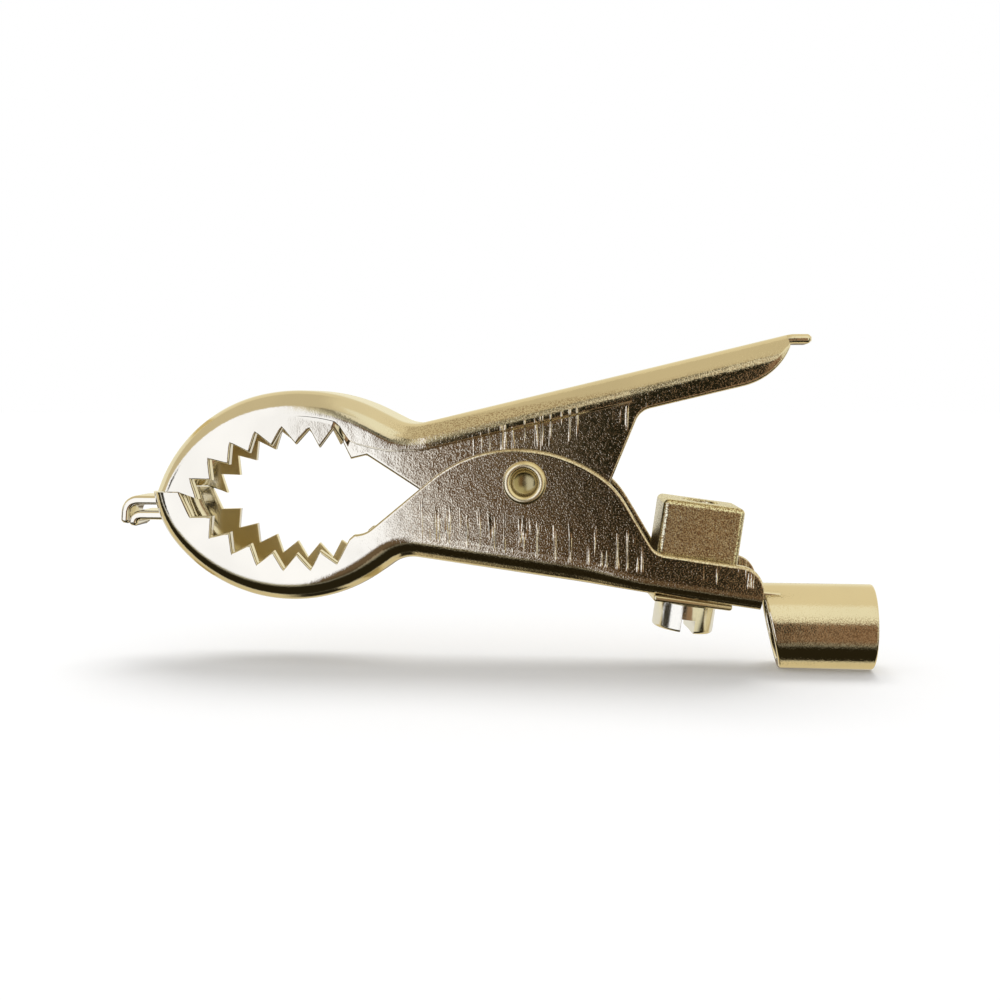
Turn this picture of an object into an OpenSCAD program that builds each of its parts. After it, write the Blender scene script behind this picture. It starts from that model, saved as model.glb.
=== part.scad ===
// Crocodile clip with round toothed jaws, a screw clamp for bare wire and a rolled 4 mm plug socket.
// X runs along the socket and out of its mouth, Z is up and Y runs across the jaws.
// The origin lies on the socket's axis in the plane of its mouth. All lengths are in millimetres.

/* [Sheet] */
// Thickness of the sheet that both arms are pressed from
sheet = 0.6; // [0.5:0.05:0.7]
// Outside width across the jaws
jaw_w = 6.6; // [6:0.1:7.4]
// Outside radius of the bend that runs round the jaws
bend_r = 0.95; // [0.85:0.05:1.15]
// Outside radius of the bend that runs along the handle
handle_bend_r = 1.6; // [1.2:0.1:1.8]
// Gap on each side between the upper arm's ears and the lower arm's ears
ear_gap = 0.05; // [0.03:0.01:0.15]

/* [Pivot] */
// Distance from the socket's mouth back to the pivot
pivot_back = 21.8; // [21:0.1:24]
// Height of the pivot above the socket's axis
pivot_up = 9.2; // [8.8:0.05:9.8]
// Radius of the rivet's shank
rivet_r = 1.1; // [0.9:0.05:1.2]
// Running clearance of the rivet in the upper arm's ears
rivet_gap = 0.05; // [0.02:0.01:0.08]
// Seating clearance of the rivet in the lower arm's ears
rivet_seat = 0.01; // [0.01:0.005:0.03]
// Radius of the rivet's set head on the far side
rivet_head_r = 1.7; // [1.5:0.05:2]
// Height of the rivet's set head
rivet_head_h = 0.45; // [0.3:0.05:0.6]
// Outside radius of the rolled ring on the near side
ring_r = 1.36; // [1.25:0.01:1.5]
// Radius of the hole in the rolled ring
ring_hole_r = 0.82; // [0.6:0.02:0.85]
// Height of the rolled ring over the ear
ring_h = 0.35; // [0.2:0.05:0.5]
// Depth of the hole in the rivet, from the ear's face
ring_hole_depth = 1.3; // [0.8:0.1:2]

/* [Mouth] */
// Distance from the pivot forward to the centre of the mouth
mouth_reach = 14.7; // [14.3:0.02:15]
// Height of the mouth's centre line below the pivot
mouth_drop = 1.12; // [1:0.02:1.24]
// Distance of each row of teeth's centre from the mouth's centre line
mouth_rise = 3.8; // [3.65:0.05:3.95]
// Radius through the tips of the teeth
tip_r = 7.25; // [7:0.05:7.4]
// Depth of the teeth
tooth_depth = 1.05; // [0.7:0.05:1.2]
// Angle from one tooth to the next
tooth_pitch = 12.1; // [11.8:0.1:12.4]
// Angle of the first tooth that both jaws have
first_tooth = 137; // [136:0.5:138]
// Angle of the last tooth, which is set apart from the row
last_tooth = 60.5; // [58.5:0.5:62]
// Angle of the valley before the upper row's last tooth
last_valley = 72.4; // [71.4:0.2:73]
// Depth of that valley below the tips
last_valley_depth = 1.44; // [1.2:0.04:1.48]
// Height of the line where the jaws meet, below the pivot
parting_drop = 0.75; // [0.65:0.05:0.85]
// Gap between the closed jaws
parting_gap = 0.06; // [0.04:0.01:0.12]
// Length of wall at the nose before the teeth begin
nose_land = 1.95; // [1.8:0.05:2.1]

/* [Upper arm] */
// Slope of the handle above level
handle_tilt = 13.5; // [12.5:0.1:14.5]
// Distance from the pivot up to the handle's outer face
handle_off = 5.14; // [4.98:0.02:5.3]
// Length of the handle behind the pivot, without its end tab
handle_len = 17.7; // [17:0.1:19]
// Place behind the pivot where the handle reaches its narrow width
taper_end = 7; // [5:0.1:8]
// Depth of the handle's side walls
handle_wall = 2.45; // [2.35:0.05:2.8]
// Radius of the round end of the handle's side walls
handle_end_r = 4; // [3.5:0.1:4.5]
// Depth of wall that is left at the very end of the handle
end_wall = 0.75; // [0.7:0.05:1]
// Distance from the pivot forward to the start of the neck
upper_neck_at = 5.45; // [5.3:0.05:5.6]
// Radius of the neck's hollow
upper_neck_r = 2.5; // [2.2:0.1:2.8]
// Angle that the sheet turns through in the neck
upper_neck_turn = 40; // [39:0.5:41]
// Straight length between the neck and the round of the jaw
upper_flat = 1.35; // [1.2:0.05:1.5]
// Radius of the jaw's crown
crown_r = 11.6; // [11.2:0.1:12]
// Angle that the crown takes up
crown_sweep = 38; // [36:0.5:40]
// Part of the crown that is stepped inward to pass between the lower ears
step_sweep = 9; // [7.5:0.25:10.5]
// Further part of the crown along which the rest of that step fades out
step_fade = 19.5; // [16:0.5:22]
// Share of the step that is left where its fading part starts
step_rest = 0.2; // [0.1:0.05:0.4]
// Depth of the step below the handle's outer face
step_depth = 1.2; // [1.1:0.05:1.3]
// Further depth of the step at the back of the jaw
step_dip = 1.2; // [0.8:0.1:1.3]
// Radius of the jaw from the crown down to the nose
brow_r = 9.5; // [9.3:0.05:9.7]
// Length of the slope where the wall steps inward
step_slope = 0.4; // [0.3:0.05:0.5]
// Slope of the mouth's straight edge below level
lip_slope = 32.5; // [31:0.5:34]
// Distance along the clip from the last tooth's tip to the mouth's straight edge
lip_ahead = 1; // [0.85:0.05:1.15]
// Radius of the upper ear round the pivot
ear_r = 4.06; // [3.9:0.02:4.2]
// Distance from the pivot to the ear's rear edge
ear_rear = 4.9; // [4.6:0.05:5]
// Angle of the ear's rear edge above level
ear_rear_angle = 68; // [64:0.5:72]
// Radius of the fillet between the ear and the handle
ear_fillet_r = 1.25; // [0.9:0.05:1.5]

/* [Lower arm] */
// Slope of the channel below level
channel_tilt = 7.8; // [7.2:0.1:8.4]
// Distance from the pivot down to the channel's outer face
channel_off = 5.78; // [5.66:0.02:5.94]
// Length of the channel behind the pivot
channel_len = 15.5; // [15.2:0.1:16.2]
// Height of the channel's side walls
channel_wall = 2.6; // [2.4:0.05:2.8]
// Radius of the round rear end of the side walls
channel_end_r = 1.5; // [1.2:0.05:1.55]
// Distance from the pivot forward to the start of the neck
lower_neck_at = 6.2; // [6:0.05:6.4]
// Radius of the neck's hollow
lower_neck_r = 2.2; // [2:0.1:2.4]
// Angle that the sheet turns through in the neck
lower_neck_turn = 43; // [42:0.5:44]
// Straight length between the neck and the round of the jaw
lower_flat = 1.1; // [1:0.05:1.3]
// Radius of the jaw's belly
belly_r = 10; // [9.8:0.05:10.2]
// Angle that the belly takes up
belly_sweep = 84; // [82.4:0.2:85.4]
// Radius of the jaw from the belly up to the nose
chin_r = 6.8; // [6.4:0.1:7.4]
// Height of the ear's top above the pivot
crest_up = 2.1; // [2:0.01:2.3]
// Distance of the ear's top forward of the pivot
crest_ahead = 0.6; // [0.4:0.05:0.8]
// Radius of the ear's front shoulder
shoulder_r = 8.2; // [7.8:0.1:8.6]
// Angle that the front shoulder takes up
shoulder_sweep = 39.5; // [38.5:0.5:40.5]
// Straight edge between the mouth and the front shoulder
mouth_ramp = 5; // [4.85:0.05:5.15]
// Radius of the hollow where the mouth runs into that edge
mouth_hollow_r = 1.8; // [1.5:0.1:2]
// Radius of the ear's back
back_r = 9.3; // [8.9:0.1:9.7]
// Angle that the back takes up
back_sweep = 34; // [32:0.5:35]
// Radius of the ear's rear shoulder
rump_r = 5.5; // [5:0.1:6]
// Angle that the rear shoulder takes up
rump_sweep = 25; // [23:0.5:27]
// Radius of the fillet between the ear and the channel
rump_fillet_r = 1.3; // [1:0.05:1.5]

/* [Tabs] */
// Width of the tabs at the nose and at the end of the handle
tab_w = 2.6; // [2:0.1:3]
// Height of the upper nose tab's top, below the pivot
upper_tab_drop = 1.22; // [1.1:0.02:1.3]
// Gap between the two nose tabs
tab_gap = 0.2; // [0.15:0.01:0.25]
// Outside radius of the corner where each nose tab leaves its jaw
tab_corner_r = 0.25; // [0.15:0.05:0.35]
// Reach of the lower nose tab in front of the jaw
lower_tab_reach = 2.1; // [1.9:0.05:2.15]
// Inside radius of the lower nose tab's turned-down end
lower_hook_r = 0.25; // [0.15:0.05:0.3]
// Straight length at the turned-down end of the lower nose tab
lower_hook_tail = 0.2; // [0.1:0.05:0.3]
// Reach of the upper nose tab's hook in front of the jaw
hook_reach = 2.9; // [2.85:0.05:3.2]
// Outside radius of the hook
hook_r = 1.15; // [1:0.05:1.25]
// Straight length at the end of the hook
hook_tail = 0.75; // [0.6:0.05:0.85]
// Angle that both nose tabs turn through at their ends
hook_turn = 85; // [80:1:90]
// Room beside each nose tab where it passes the other jaw
tab_room = 0.3; // [0.2:0.05:0.5]
// Length of the tab at the end of the handle
end_tab_len = 1; // [0.7:0.1:1.4]
// Radius through which the end tab levels out
end_tab_r = 2.5; // [2:0.1:4]

/* [Socket] */
// Bore of the socket for a 4 mm plug
socket_d = 4.2; // [4.1:0.02:4.4]
// Length of the socket along its top
socket_len = 7; // [6.6:0.1:7.2]
// Lean of the socket's inner end from square
socket_lean = 12; // [8:0.5:16]
// Width of the seam along the bottom of the socket
seam_w = 0.12; // [0.08:0.02:0.2]
// Width of the tongue that joins the socket to the channel
tongue_w = 3.2; // [2.6:0.1:3.4]
// Place behind the pivot where the tongue rises out of the channel
tongue_at = 13.6; // [13.3:0.1:13.8]
// Slope of the rising part of the tongue
tongue_slope = 20; // [16:1:26]
// Radius of the bends in the tongue
tongue_r = 1; // [0.8:0.05:1.2]

/* [Clamp] */
// Distance from the pivot back to the screw, along the channel
screw_at = 11.05; // [10.8:0.05:11.2]
// Radius of the screw's shank
screw_r = 1.1; // [0.9:0.05:1.2]
// Clearance of the screw in the channel's floor
screw_room = 0.2; // [0.15:0.05:0.4]
// Running clearance of the screw in the block
thread_gap = 0.05; // [0.03:0.01:0.08]
// Diameter of the screw's head
head_d = 3.86; // [3.4:0.02:4.2]
// Height of the screw's head
head_h = 1.8; // [1.5:0.05:2]
// Width of the slot in the screw's head
slot_w = 0.85; // [0.6:0.05:1]
// Depth of the slot in the screw's head
slot_depth = 0.85; // [0.6:0.05:1]
// Angle of the slot from straight across the clip
slot_turn = 8; // [-90:1:90]
// Radius of the rounded edge of the screw's head
head_edge_r = 0.18; // [0.1:0.02:0.3]
// Side of the square washer plate
washer_side = 5; // [4.6:0.1:5.2]
// Thickness of the washer plate
washer_t = 0.42; // [0.35:0.01:0.5]
// Angle at which the loose washer plate lies
washer_turn = 8; // [0:1:10]
// Gap between the washer plate and the screw's head
head_gap = 0.05; // [0.03:0.01:0.1]
// Length of the clamp block along the channel
block_len = 5.1; // [4.8:0.05:5.2]
// Width of the clamp block
block_w = 4.7; // [4.4:0.05:4.72]
// Height of the clamp block
block_h = 3.9; // [3.5:0.05:4]
// Height of the clamp block's underside over the channel's floor
block_rise = 1.5; // [1.4:0.05:1.6]
// Angle at which the loose block lies against the channel's walls
block_turn = 5; // [0:1:7]
// Radius of the block's rounded edges
block_edge_r = 0.35; // [0.2:0.05:0.6]
// Depth of the screw's tip below the top of the block
tip_below = 0.3; // [0.1:0.05:0.6]

/* [Spring] */
// Diameter of the spring's wire
wire_d = 0.7; // [0.6:0.05:0.75]
// Clearance between the spring's coil and the rivet
coil_gap = 0.3; // [0.2:0.05:0.5]
// Whole turns of the spring's coil
coil_turns = 4; // [3:1:4]
// Gap between one turn of the coil and the next
turn_gap = 0.03; // [0.02:0.01:0.06]
// Angle of each of the spring's legs to the sheet that it presses on
leg_rake = 25; // [22:1:30]
// Gap between the end of a leg and the sheet
leg_gap = 0.03; // [0.02:0.01:0.1]

/* [Hidden] */
$fn = 72;
nickel = "#cbbf97";
steel = "#a9a38d";
// Angle of one step along rounded edges
edge_step = 6;
// Stations along each straight stretch of edge
end_parts = 8;
lip_parts = 10;
tooth_parts = 2;
ramp_parts = 6;
nose_parts = 5;
// Least depth of wall below the step
step_foot = 0.2;
// Shares of the step's dip at the end of the neck and along the crown
neck_dip = 0.7;
crown_dip = 0.2;
// Share of the stepped crown along which the whole dip is kept
dip_hold = 0.5;
// Reach of cuts past a face
reach = 3 * jaw_w;
half_w = jaw_w / 2;
inner_half_w = half_w - sheet - ear_gap;
pivot = [-pivot_back, pivot_up];
parting = pivot_up - parting_drop;
mouth = pivot + [-mouth_reach, -mouth_drop];
valley_r = tip_r + tooth_depth;
last_valley_r = tip_r + last_valley_depth;
// Number of the last tooth in each row, counted from 0
row_end = 5;
// Depth of wall between the bend and the step
step_land = 0.1;
// Tabs lie this far inside the faces of the sheet that they leave
strip_inset = 0.05;
socket_r = socket_d / 2;
barrel_r = socket_r + sheet;
coil_r = rivet_r + coil_gap + wire_d / 2;

// Places on each arm: u runs back along its outer face from the pivot, n runs outward from the pivot
function upper_at(u, n) =
    pivot + u * [cos(handle_tilt), sin(handle_tilt)] + n * [-sin(handle_tilt), cos(handle_tilt)];
function lower_at(u, n) =
    pivot + u * [cos(channel_tilt), -sin(channel_tilt)] - n * [sin(channel_tilt), cos(channel_tilt)];
function upper_out(p) = (p - pivot) * [-sin(handle_tilt), cos(handle_tilt)];
function lower_out(p) = -(p - pivot) * [sin(channel_tilt), cos(channel_tilt)];
function lower_along(p) = (p - pivot) * [cos(channel_tilt), -sin(channel_tilt)];

// A path starts at p with heading h. Its segments are [0, length] for a straight, [radius, turn] for an arc.
// side is 1 where the sheet's inside is on the left of the way along it, and -1 where it is on the right.
// A positive turn bends towards the inside.
function inward(h, side) = side * [-sin(h), cos(h)];
function hub(p, h, side, seg) = p + sign(seg[1]) * seg[0] * inward(h, side);
function heading_after(h, side, seg) = seg[0] == 0 ? h : h + side * seg[1];
function point_after(p, h, side, seg) = seg[0] == 0
    ? p + seg[1] * [cos(h), sin(h)]
    : hub(p, h, side, seg) - sign(seg[1]) * seg[0] * inward(heading_after(h, side, seg), side);
function path_end(p, h, side, segs, i = 0) = i == len(segs)
    ? [p, h]
    : path_end(point_after(p, h, side, segs[i]), heading_after(h, side, segs[i]), side, segs, i + 1);
function arc_points(p, h, side, seg, inset) =
    let (steps = max(2, ceil(abs(seg[1]) / edge_step)))
    [for (k = [0 : steps - 1])
        let (way = inward(h + side * seg[1] * k / steps, side))
        hub(p, h, side, seg) + (inset - sign(seg[1]) * seg[0]) * way];
function path_points(p, h, side, segs, inset = 0, i = 0) = i == len(segs)
    ? [p + inset * inward(h, side)]
    : concat(
        segs[i][0] == 0 ? [p + inset * inward(h, side)] : arc_points(p, h, side, segs[i], inset),
        path_points(
            point_after(p, h, side, segs[i]), heading_after(h, side, segs[i]), side, segs, inset, i + 1));
function reversed(list) = [for (k = [len(list) - 1 : -1 : 0]) list[k]];
function strip_points(p, h, side, segs) = concat(
    path_points(p, h, side, segs, strip_inset),
    reversed(path_points(p, h, side, segs, sheet - strip_inset)));

// The upper arm's path runs along its outer face from the end of the handle to the nose
upper_start = upper_at(handle_len, handle_off);
upper_heading = 180 + handle_tilt;
brow_sweep = 60;
upper_segs = [
    [0, handle_len + upper_neck_at], [upper_neck_r, -upper_neck_turn], [0, upper_flat],
    [crown_r, crown_sweep], [brow_r, brow_sweep]
];
brow_place = path_end(upper_start, upper_heading, 1, [for (k = [0 : 3]) upper_segs[k]]);
brow_hub = hub(brow_place[0], brow_place[1], 1, upper_segs[4]);
upper_nose_x = brow_hub[0] - sqrt(pow(brow_r, 2) - pow(parting - brow_hub[1], 2));

// The lower arm's path runs along its outer face from the rear of the channel to the nose
lower_start = lower_at(channel_len, channel_off);
lower_heading = 180 - channel_tilt;
chin_sweep = 60;
lower_segs = [
    [0, channel_len + lower_neck_at], [lower_neck_r, -lower_neck_turn], [0, lower_flat],
    [belly_r, belly_sweep], [chin_r, chin_sweep]
];
chin_place = path_end(lower_start, lower_heading, -1, [for (k = [0 : 3]) lower_segs[k]]);
chin_hub = hub(chin_place[0], chin_place[1], -1, lower_segs[4]);
lower_nose_x = chin_hub[0] - sqrt(pow(chin_r, 2) - pow(parting - chin_hub[1], 2));
teeth_x = max(upper_nose_x, lower_nose_x) + nose_land;

// The teeth stand on arcs round two centres, with side 1 for the upper row and -1 for the lower one
function mouth_at(side, r, a) = mouth + [r * cos(a), side * (r * sin(a) - mouth_rise)];
function tooth_angle(k) = first_tooth - k * tooth_pitch;
function row_points(side) = [
    for (k = [0 : row_end])
        each [
            mouth_at(side, valley_r, tooth_angle(k) + tooth_pitch / 2),
            mouth_at(side, tip_r, tooth_angle(k))
        ]
];

// Turns a drawing of the side view upright, centred across the clip
module across(w) {
    rotate([90, 0, 0]) linear_extrude(w, center = true) children();
}

// Points between two, and a list with such points between each two
function between(a, b, parts) = [for (k = [1 : parts - 1]) a + (b - a) * k / parts];
function divided(list, parts) = concat(
    [for (k = [0 : len(list) - 2]) each concat([list[k]], between(list[k], list[k + 1], parts))],
    [list[len(list) - 1]]);

// Square foot of point q on a path, as [point, heading, segment, distance or angle into the segment]
function turn_between(a, b) = atan2(a[0] * b[1] - a[1] * b[0], a * b);
function foot(q, p, h, side, segs, i = 0) =
    let (
        seg = segs[i],
        c = hub(p, h, side, seg),
        way = seg[0] == 0 ? 1 : side * sign(seg[1]),
        t = seg[0] == 0 ? (q - p) * [cos(h), sin(h)] : way * turn_between(p - c, q - c),
        end = seg[0] == 0 ? seg[1] : abs(seg[1])
    )
    t > end && i < len(segs) - 1
        ? foot(q, point_after(p, h, side, seg), heading_after(h, side, seg), side, segs, i + 1)
        : let (part = seg[0] == 0 ? [0, t] : [seg[0], sign(seg[1]) * t])
            [point_after(p, h, side, part), heading_after(h, side, part), i, t];

// A cross-section follows the sheet from its web down to the wall's edge, at depths from the outer face.
// shape is [half width, half width at the edge, bend radius, depth of the step, depth of the edge].
bend_steps = 5;
function depths(shape) =
    let (fit = min(1, shape[4] / (shape[3] + step_slope + step_foot)))
    concat(
        [for (k = [0 : bend_steps]) fit * shape[2] * (1 - cos(90 * k / bend_steps))],
        [fit * shape[3], fit * (shape[3] + step_slope), shape[4]]);
function section_point(s, half, r, inset) =
    let (a = s < r ? acos(1 - s / r) : 90)
    [s < r ? r - (r - inset) * cos(a) : s, half - r + (r - inset) * sin(a)];
function half_section(shape, inset) =
    let (s = depths(shape))
    [for (k = [0 : len(s) - 1]) section_point(s[k], shape[k > bend_steps + 1 ? 1 : 0], shape[2], inset)];
function whole_section(shape, inset) =
    let (h = half_section(shape, inset))
    concat(reversed([for (q = h) [q[0], -q[1]]]), h);

// Sheet lofted through stations of [point on the outer face, direction inward, shape]
module lofted_sheet(stations) {
    rings = [for (s = stations) for (f = [0, 1]) [s, whole_section(s[2], f * sheet)]];
    n = len(rings[0][1]);
    last = len(stations) - 1;
    points = [
        for (r = rings) for (q = r[1])
            let (p = r[0][0] + q[0] * r[0][1]) [p[0], q[1], p[1]]
    ];
    // Place in the list of point k on face f, 0 outer and 1 inner, at station s
    function at(s, f, k) = (2 * s + f) * n + k;
    function quad(a, b, c, d) = [[a, b, c], [a, c, d]];
    faces = [
        for (s = [0 : last - 1]) for (k = [0 : n - 2]) each concat(
            quad(at(s, 0, k), at(s + 1, 0, k), at(s + 1, 0, k + 1), at(s, 0, k + 1)),
            quad(at(s, 1, k), at(s, 1, k + 1), at(s + 1, 1, k + 1), at(s + 1, 1, k)))
    ];
    edges = [
        for (s = [0 : last - 1]) each concat(
            quad(at(s, 0, 0), at(s, 1, 0), at(s + 1, 1, 0), at(s + 1, 0, 0)),
            quad(at(s, 0, n - 1), at(s + 1, 0, n - 1), at(s + 1, 1, n - 1), at(s, 1, n - 1)))
    ];
    ends = [
        for (k = [0 : n - 2]) each concat(
            quad(at(0, 0, k), at(0, 0, k + 1), at(0, 1, k + 1), at(0, 1, k)),
            quad(at(last, 0, k), at(last, 1, k), at(last, 1, k + 1), at(last, 0, k + 1)))
    ];
    polyhedron(points, concat(faces, edges, ends));
}

// Rear edge of the upper mouth, the ear and the lower edge of the handle's wall
lip_foot = pivot + ear_r * [-sin(lip_slope), -cos(lip_slope)];
upper_last_tip = mouth_at(1, tip_r, last_tooth);
lip_start_x = upper_last_tip[0] + lip_ahead;
lip_start = [lip_start_x, lip_foot[1] + (lip_foot[0] - lip_start_x) * tan(lip_slope)];
rear_foot = pivot + ear_rear * [sin(ear_rear_angle), -cos(ear_rear_angle)];
rear_turn = ear_rear_angle - handle_tilt;
rear_drop = handle_off - handle_wall - upper_out(rear_foot);
rear_run = (rear_drop - ear_fillet_r * (1 - cos(rear_turn))) / sin(rear_turn);
ear_segs = [[0, rear_run], [ear_fillet_r, -rear_turn]];
// Angle that the ear's foot takes up round the pivot
ear_round = 66;
end_turn = acos(1 - (handle_wall - end_wall) / handle_end_r);
end_points = [
    for (k = [0 : end_parts])
        let (a = end_turn * (1 - k / end_parts))
        upper_at(
            handle_len - handle_end_r * (sin(end_turn) - sin(a)),
            handle_off - handle_wall + handle_end_r * (1 - cos(a)))
];
ear_points = [
    for (a = [ear_round : -edge_step : 0]) pivot + ear_r * [-sin(lip_slope - a), -cos(lip_slope - a)]
];
upper_row = reversed(concat(
    [mouth_at(1, tip_r, tooth_angle(-1))], row_points(1), [mouth_at(1, last_valley_r, last_valley)]));
upper_edge = concat(
    end_points,
    reversed(path_points(rear_foot, ear_rear_angle, 1, ear_segs)),
    ear_points,
    between(lip_foot, lip_start, lip_parts),
    [lip_start],
    divided(concat([upper_last_tip], upper_row), tooth_parts));
upper_seat = parting + parting_gap / 2;
lower_seat = parting - parting_gap / 2;

// Shape of the upper arm at the foot of one of its edge points
function upper_shape(at_foot, depth) =
    let (
        seg = at_foot[2],
        t = at_foot[3],
        back = handle_len - t,
        slim = seg > 0 ? 0 : max(0, min(1, (back + upper_neck_at) / (taper_end + upper_neck_at))),
        fading = step_rest * max(0, 1 - (t - step_sweep) / step_fade),
        stepped = seg < 3 || (seg == 3 && t < step_sweep) ? 1 : seg == 3 ? fading : 0,
        dips = [
            0, neck_dip * t / upper_neck_turn, neck_dip + (1 - neck_dip) * t / upper_flat,
            max(crown_dip, min(1, 1 + dip_hold - t / step_sweep)), 0
        ],
        r = bend_r + slim * (handle_bend_r - bend_r),
        step = max(r + step_land, step_depth + dips[seg] * step_dip),
        inset = half_w - inner_half_w
    )
    [half_w - slim * inset, half_w - stepped * inset, r, step, depth];
function upper_station(q) =
    let (f = foot(q, upper_start, upper_heading, 1, upper_segs))
    [f[0], inward(f[1], 1), upper_shape(f, norm(q - f[0]))];
upper_end = [
    [upper_nose_x, upper_seat], [1, 0],
    [half_w, half_w, bend_r, bend_r + step_land, teeth_x - upper_nose_x]
];

// Nose tab of the upper arm, which leaves its jaw and hooks down in front of the lower tab
upper_tab_top = pivot_up - upper_tab_drop;
// Angle through which each nose tab's root lies along its jaw
tab_root = 8;
module upper_nose_tab() {
    // Angle on the brow where the jaw's front turns out into the tab
    leave = asin((upper_tab_top + tab_corner_r - brow_hub[1]) / brow_r);
    from = brow_hub + brow_r * [-cos(leave + tab_root), sin(leave + tab_root)];
    out = brow_hub + brow_r * [-cos(leave), sin(leave)];
    corner = [tab_corner_r, leave - 90];
    corner_end = path_end(out, 270 - leave, 1, [corner])[0];
    run = corner_end[0] - (upper_nose_x - hook_reach + hook_r);
    across(tab_w) polygon(strip_points(from, 270 - leave - tab_root, 1, [
        [brow_r, tab_root], corner, [0, run], [hook_r, hook_turn], [0, hook_tail]
    ]));
}

// Nose tab of the lower arm, which turns down inside the hook
lower_tab_top = upper_tab_top - sheet - tab_gap;
module lower_nose_tab() {
    base = lower_tab_top - sheet;
    leave = asin((chin_hub[1] - base + tab_corner_r) / chin_r);
    from = chin_hub - chin_r * [cos(leave + tab_root), sin(leave + tab_root)];
    out = chin_hub - chin_r * [cos(leave), sin(leave)];
    corner = [tab_corner_r, leave - 90];
    corner_end = path_end(out, 90 + leave, -1, [corner])[0];
    run = corner_end[0] - (lower_nose_x - lower_tab_reach + lower_hook_r + sheet);
    across(tab_w) polygon(strip_points(from, 90 + leave + tab_root, -1, [
        [chin_r, tab_root], corner, [0, run], [lower_hook_r, -hook_turn], [0, lower_hook_tail]
    ]));
}

// Tab at the end of the handle, which levels out
module handle_end_tab() {
    from = upper_at(handle_len - 2 * sheet, handle_off);
    across(tab_w) polygon(strip_points(from, handle_tilt, -1, [
        [0, 2 * sheet], [end_tab_r, handle_tilt], [0, end_tab_len]
    ]));
}

module pivot_holes(r) {
    translate([pivot[0], 0, pivot[1]]) rotate([90, 0, 0]) cylinder(h = 2 * jaw_w, r = r, center = true);
}

module upper_jaw() {
    color(nickel) difference() {
        union() {
            lofted_sheet(concat([for (q = upper_edge) upper_station(q)], [upper_end]));
            upper_nose_tab();
            handle_end_tab();
        }
        pivot_holes(rivet_r + rivet_gap);
    }
}

// Upper edge of the lower arm's wall, from the mouth over the ear to the rear of the channel
crest = pivot + [-crest_ahead, crest_up];
shoulder_start = crest - shoulder_r * [sin(shoulder_sweep), 1 - cos(shoulder_sweep)];
ramp_start = shoulder_start - mouth_ramp * [cos(shoulder_sweep), sin(shoulder_sweep)];
ear_start = ramp_start - mouth_hollow_r * [sin(shoulder_sweep), 1 - cos(shoulder_sweep)];
rump_place = path_end(crest, 0, 1, [[back_r, -back_sweep], [rump_r, -rump_sweep]]);
rump_turn = back_sweep + rump_sweep - channel_tilt;
rump_drop = channel_off - channel_wall - lower_out(rump_place[0]);
rump_run = (rump_drop - rump_fillet_r * (1 - cos(rump_turn))) / sin(rump_turn);
rump_segs = [[0, rump_run], [rump_fillet_r, rump_turn]];
rump_end = path_end(rump_place[0], rump_place[1], 1, rump_segs)[0];
ear_edge_segs = concat(
    [[shoulder_r, -shoulder_sweep], [back_r, -back_sweep], [rump_r, -rump_sweep]],
    rump_segs,
    [[0, channel_len - channel_end_r - lower_along(rump_end)], [channel_end_r, -90]]);
lower_row = reversed(concat(
    row_points(-1), [mouth_at(-1, valley_r, tooth_angle(row_end) - tooth_pitch / 2)]));
lower_edge = concat(
    reversed(path_points(shoulder_start, shoulder_sweep, 1, ear_edge_segs)),
    between(shoulder_start, ramp_start, ramp_parts),
    reversed(path_points(ear_start, 0, 1, [[mouth_hollow_r, shoulder_sweep]])),
    divided(concat([mouth_at(-1, tip_r, last_tooth)], lower_row), tooth_parts),
    between(lower_row[len(lower_row) - 1], [teeth_x, lower_seat], nose_parts));
function lower_station(q) =
    let (f = foot(q, lower_start, lower_heading, -1, lower_segs))
    [f[0], inward(f[1], -1), [half_w, half_w, bend_r, bend_r + step_land, norm(q - f[0])]];
lower_end = [
    [lower_nose_x, lower_seat], [1, 0],
    [half_w, half_w, bend_r, bend_r + step_land, teeth_x - lower_nose_x]
];

// Tongue that rises out of the channel's floor and runs on as the top of the socket
tongue_start = lower_at(tongue_at, channel_off);
tongue_rise = tongue_r * (cos(channel_tilt) + 1 - 2 * cos(tongue_slope));
tongue_run = (socket_r - tongue_start[1] - tongue_rise) / sin(tongue_slope);
tongue_segs = [[tongue_r, channel_tilt + tongue_slope], [0, tongue_run], [tongue_r, -tongue_slope]];
tongue_end = path_end(tongue_start, -channel_tilt, 1, tongue_segs)[0];

module tongue() {
    from = tongue_start - sheet * [cos(channel_tilt), -sin(channel_tilt)];
    across(tongue_w)
        polygon(strip_points(from, -channel_tilt, 1, concat(
            [[0, sheet]], tongue_segs, [[0, 2 * sheet - socket_len - tongue_end[0]]])));
}

module tongue_slot() {
    corners = [
        [tongue_at, channel_off + sheet], [channel_len + sheet, channel_off + sheet],
        [channel_len + sheet, channel_off - 2 * sheet], [tongue_at, channel_off - 2 * sheet]
    ];
    across(tongue_w + tab_room) polygon([for (c = corners) lower_at(c[0], c[1])]);
}

module socket_barrel() {
    difference() {
        translate([-socket_len, 0, 0]) rotate([0, 90, 0]) cylinder(h = socket_len, r = barrel_r);
        translate([-socket_len, -seam_w / 2, -reach]) cube([2 * socket_len, seam_w, reach]);
        translate([-socket_len, 0, barrel_r]) rotate([0, -socket_lean, 0])
            translate([-reach, -reach / 2, -reach]) cube([reach, reach, 2 * reach]);
    }
}

module nose_notch() {
    across(tab_w + 2 * tab_room)
        translate([lower_nose_x - sheet, lower_tab_top - 2 * sheet]) square([nose_land, reach]);
}

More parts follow.
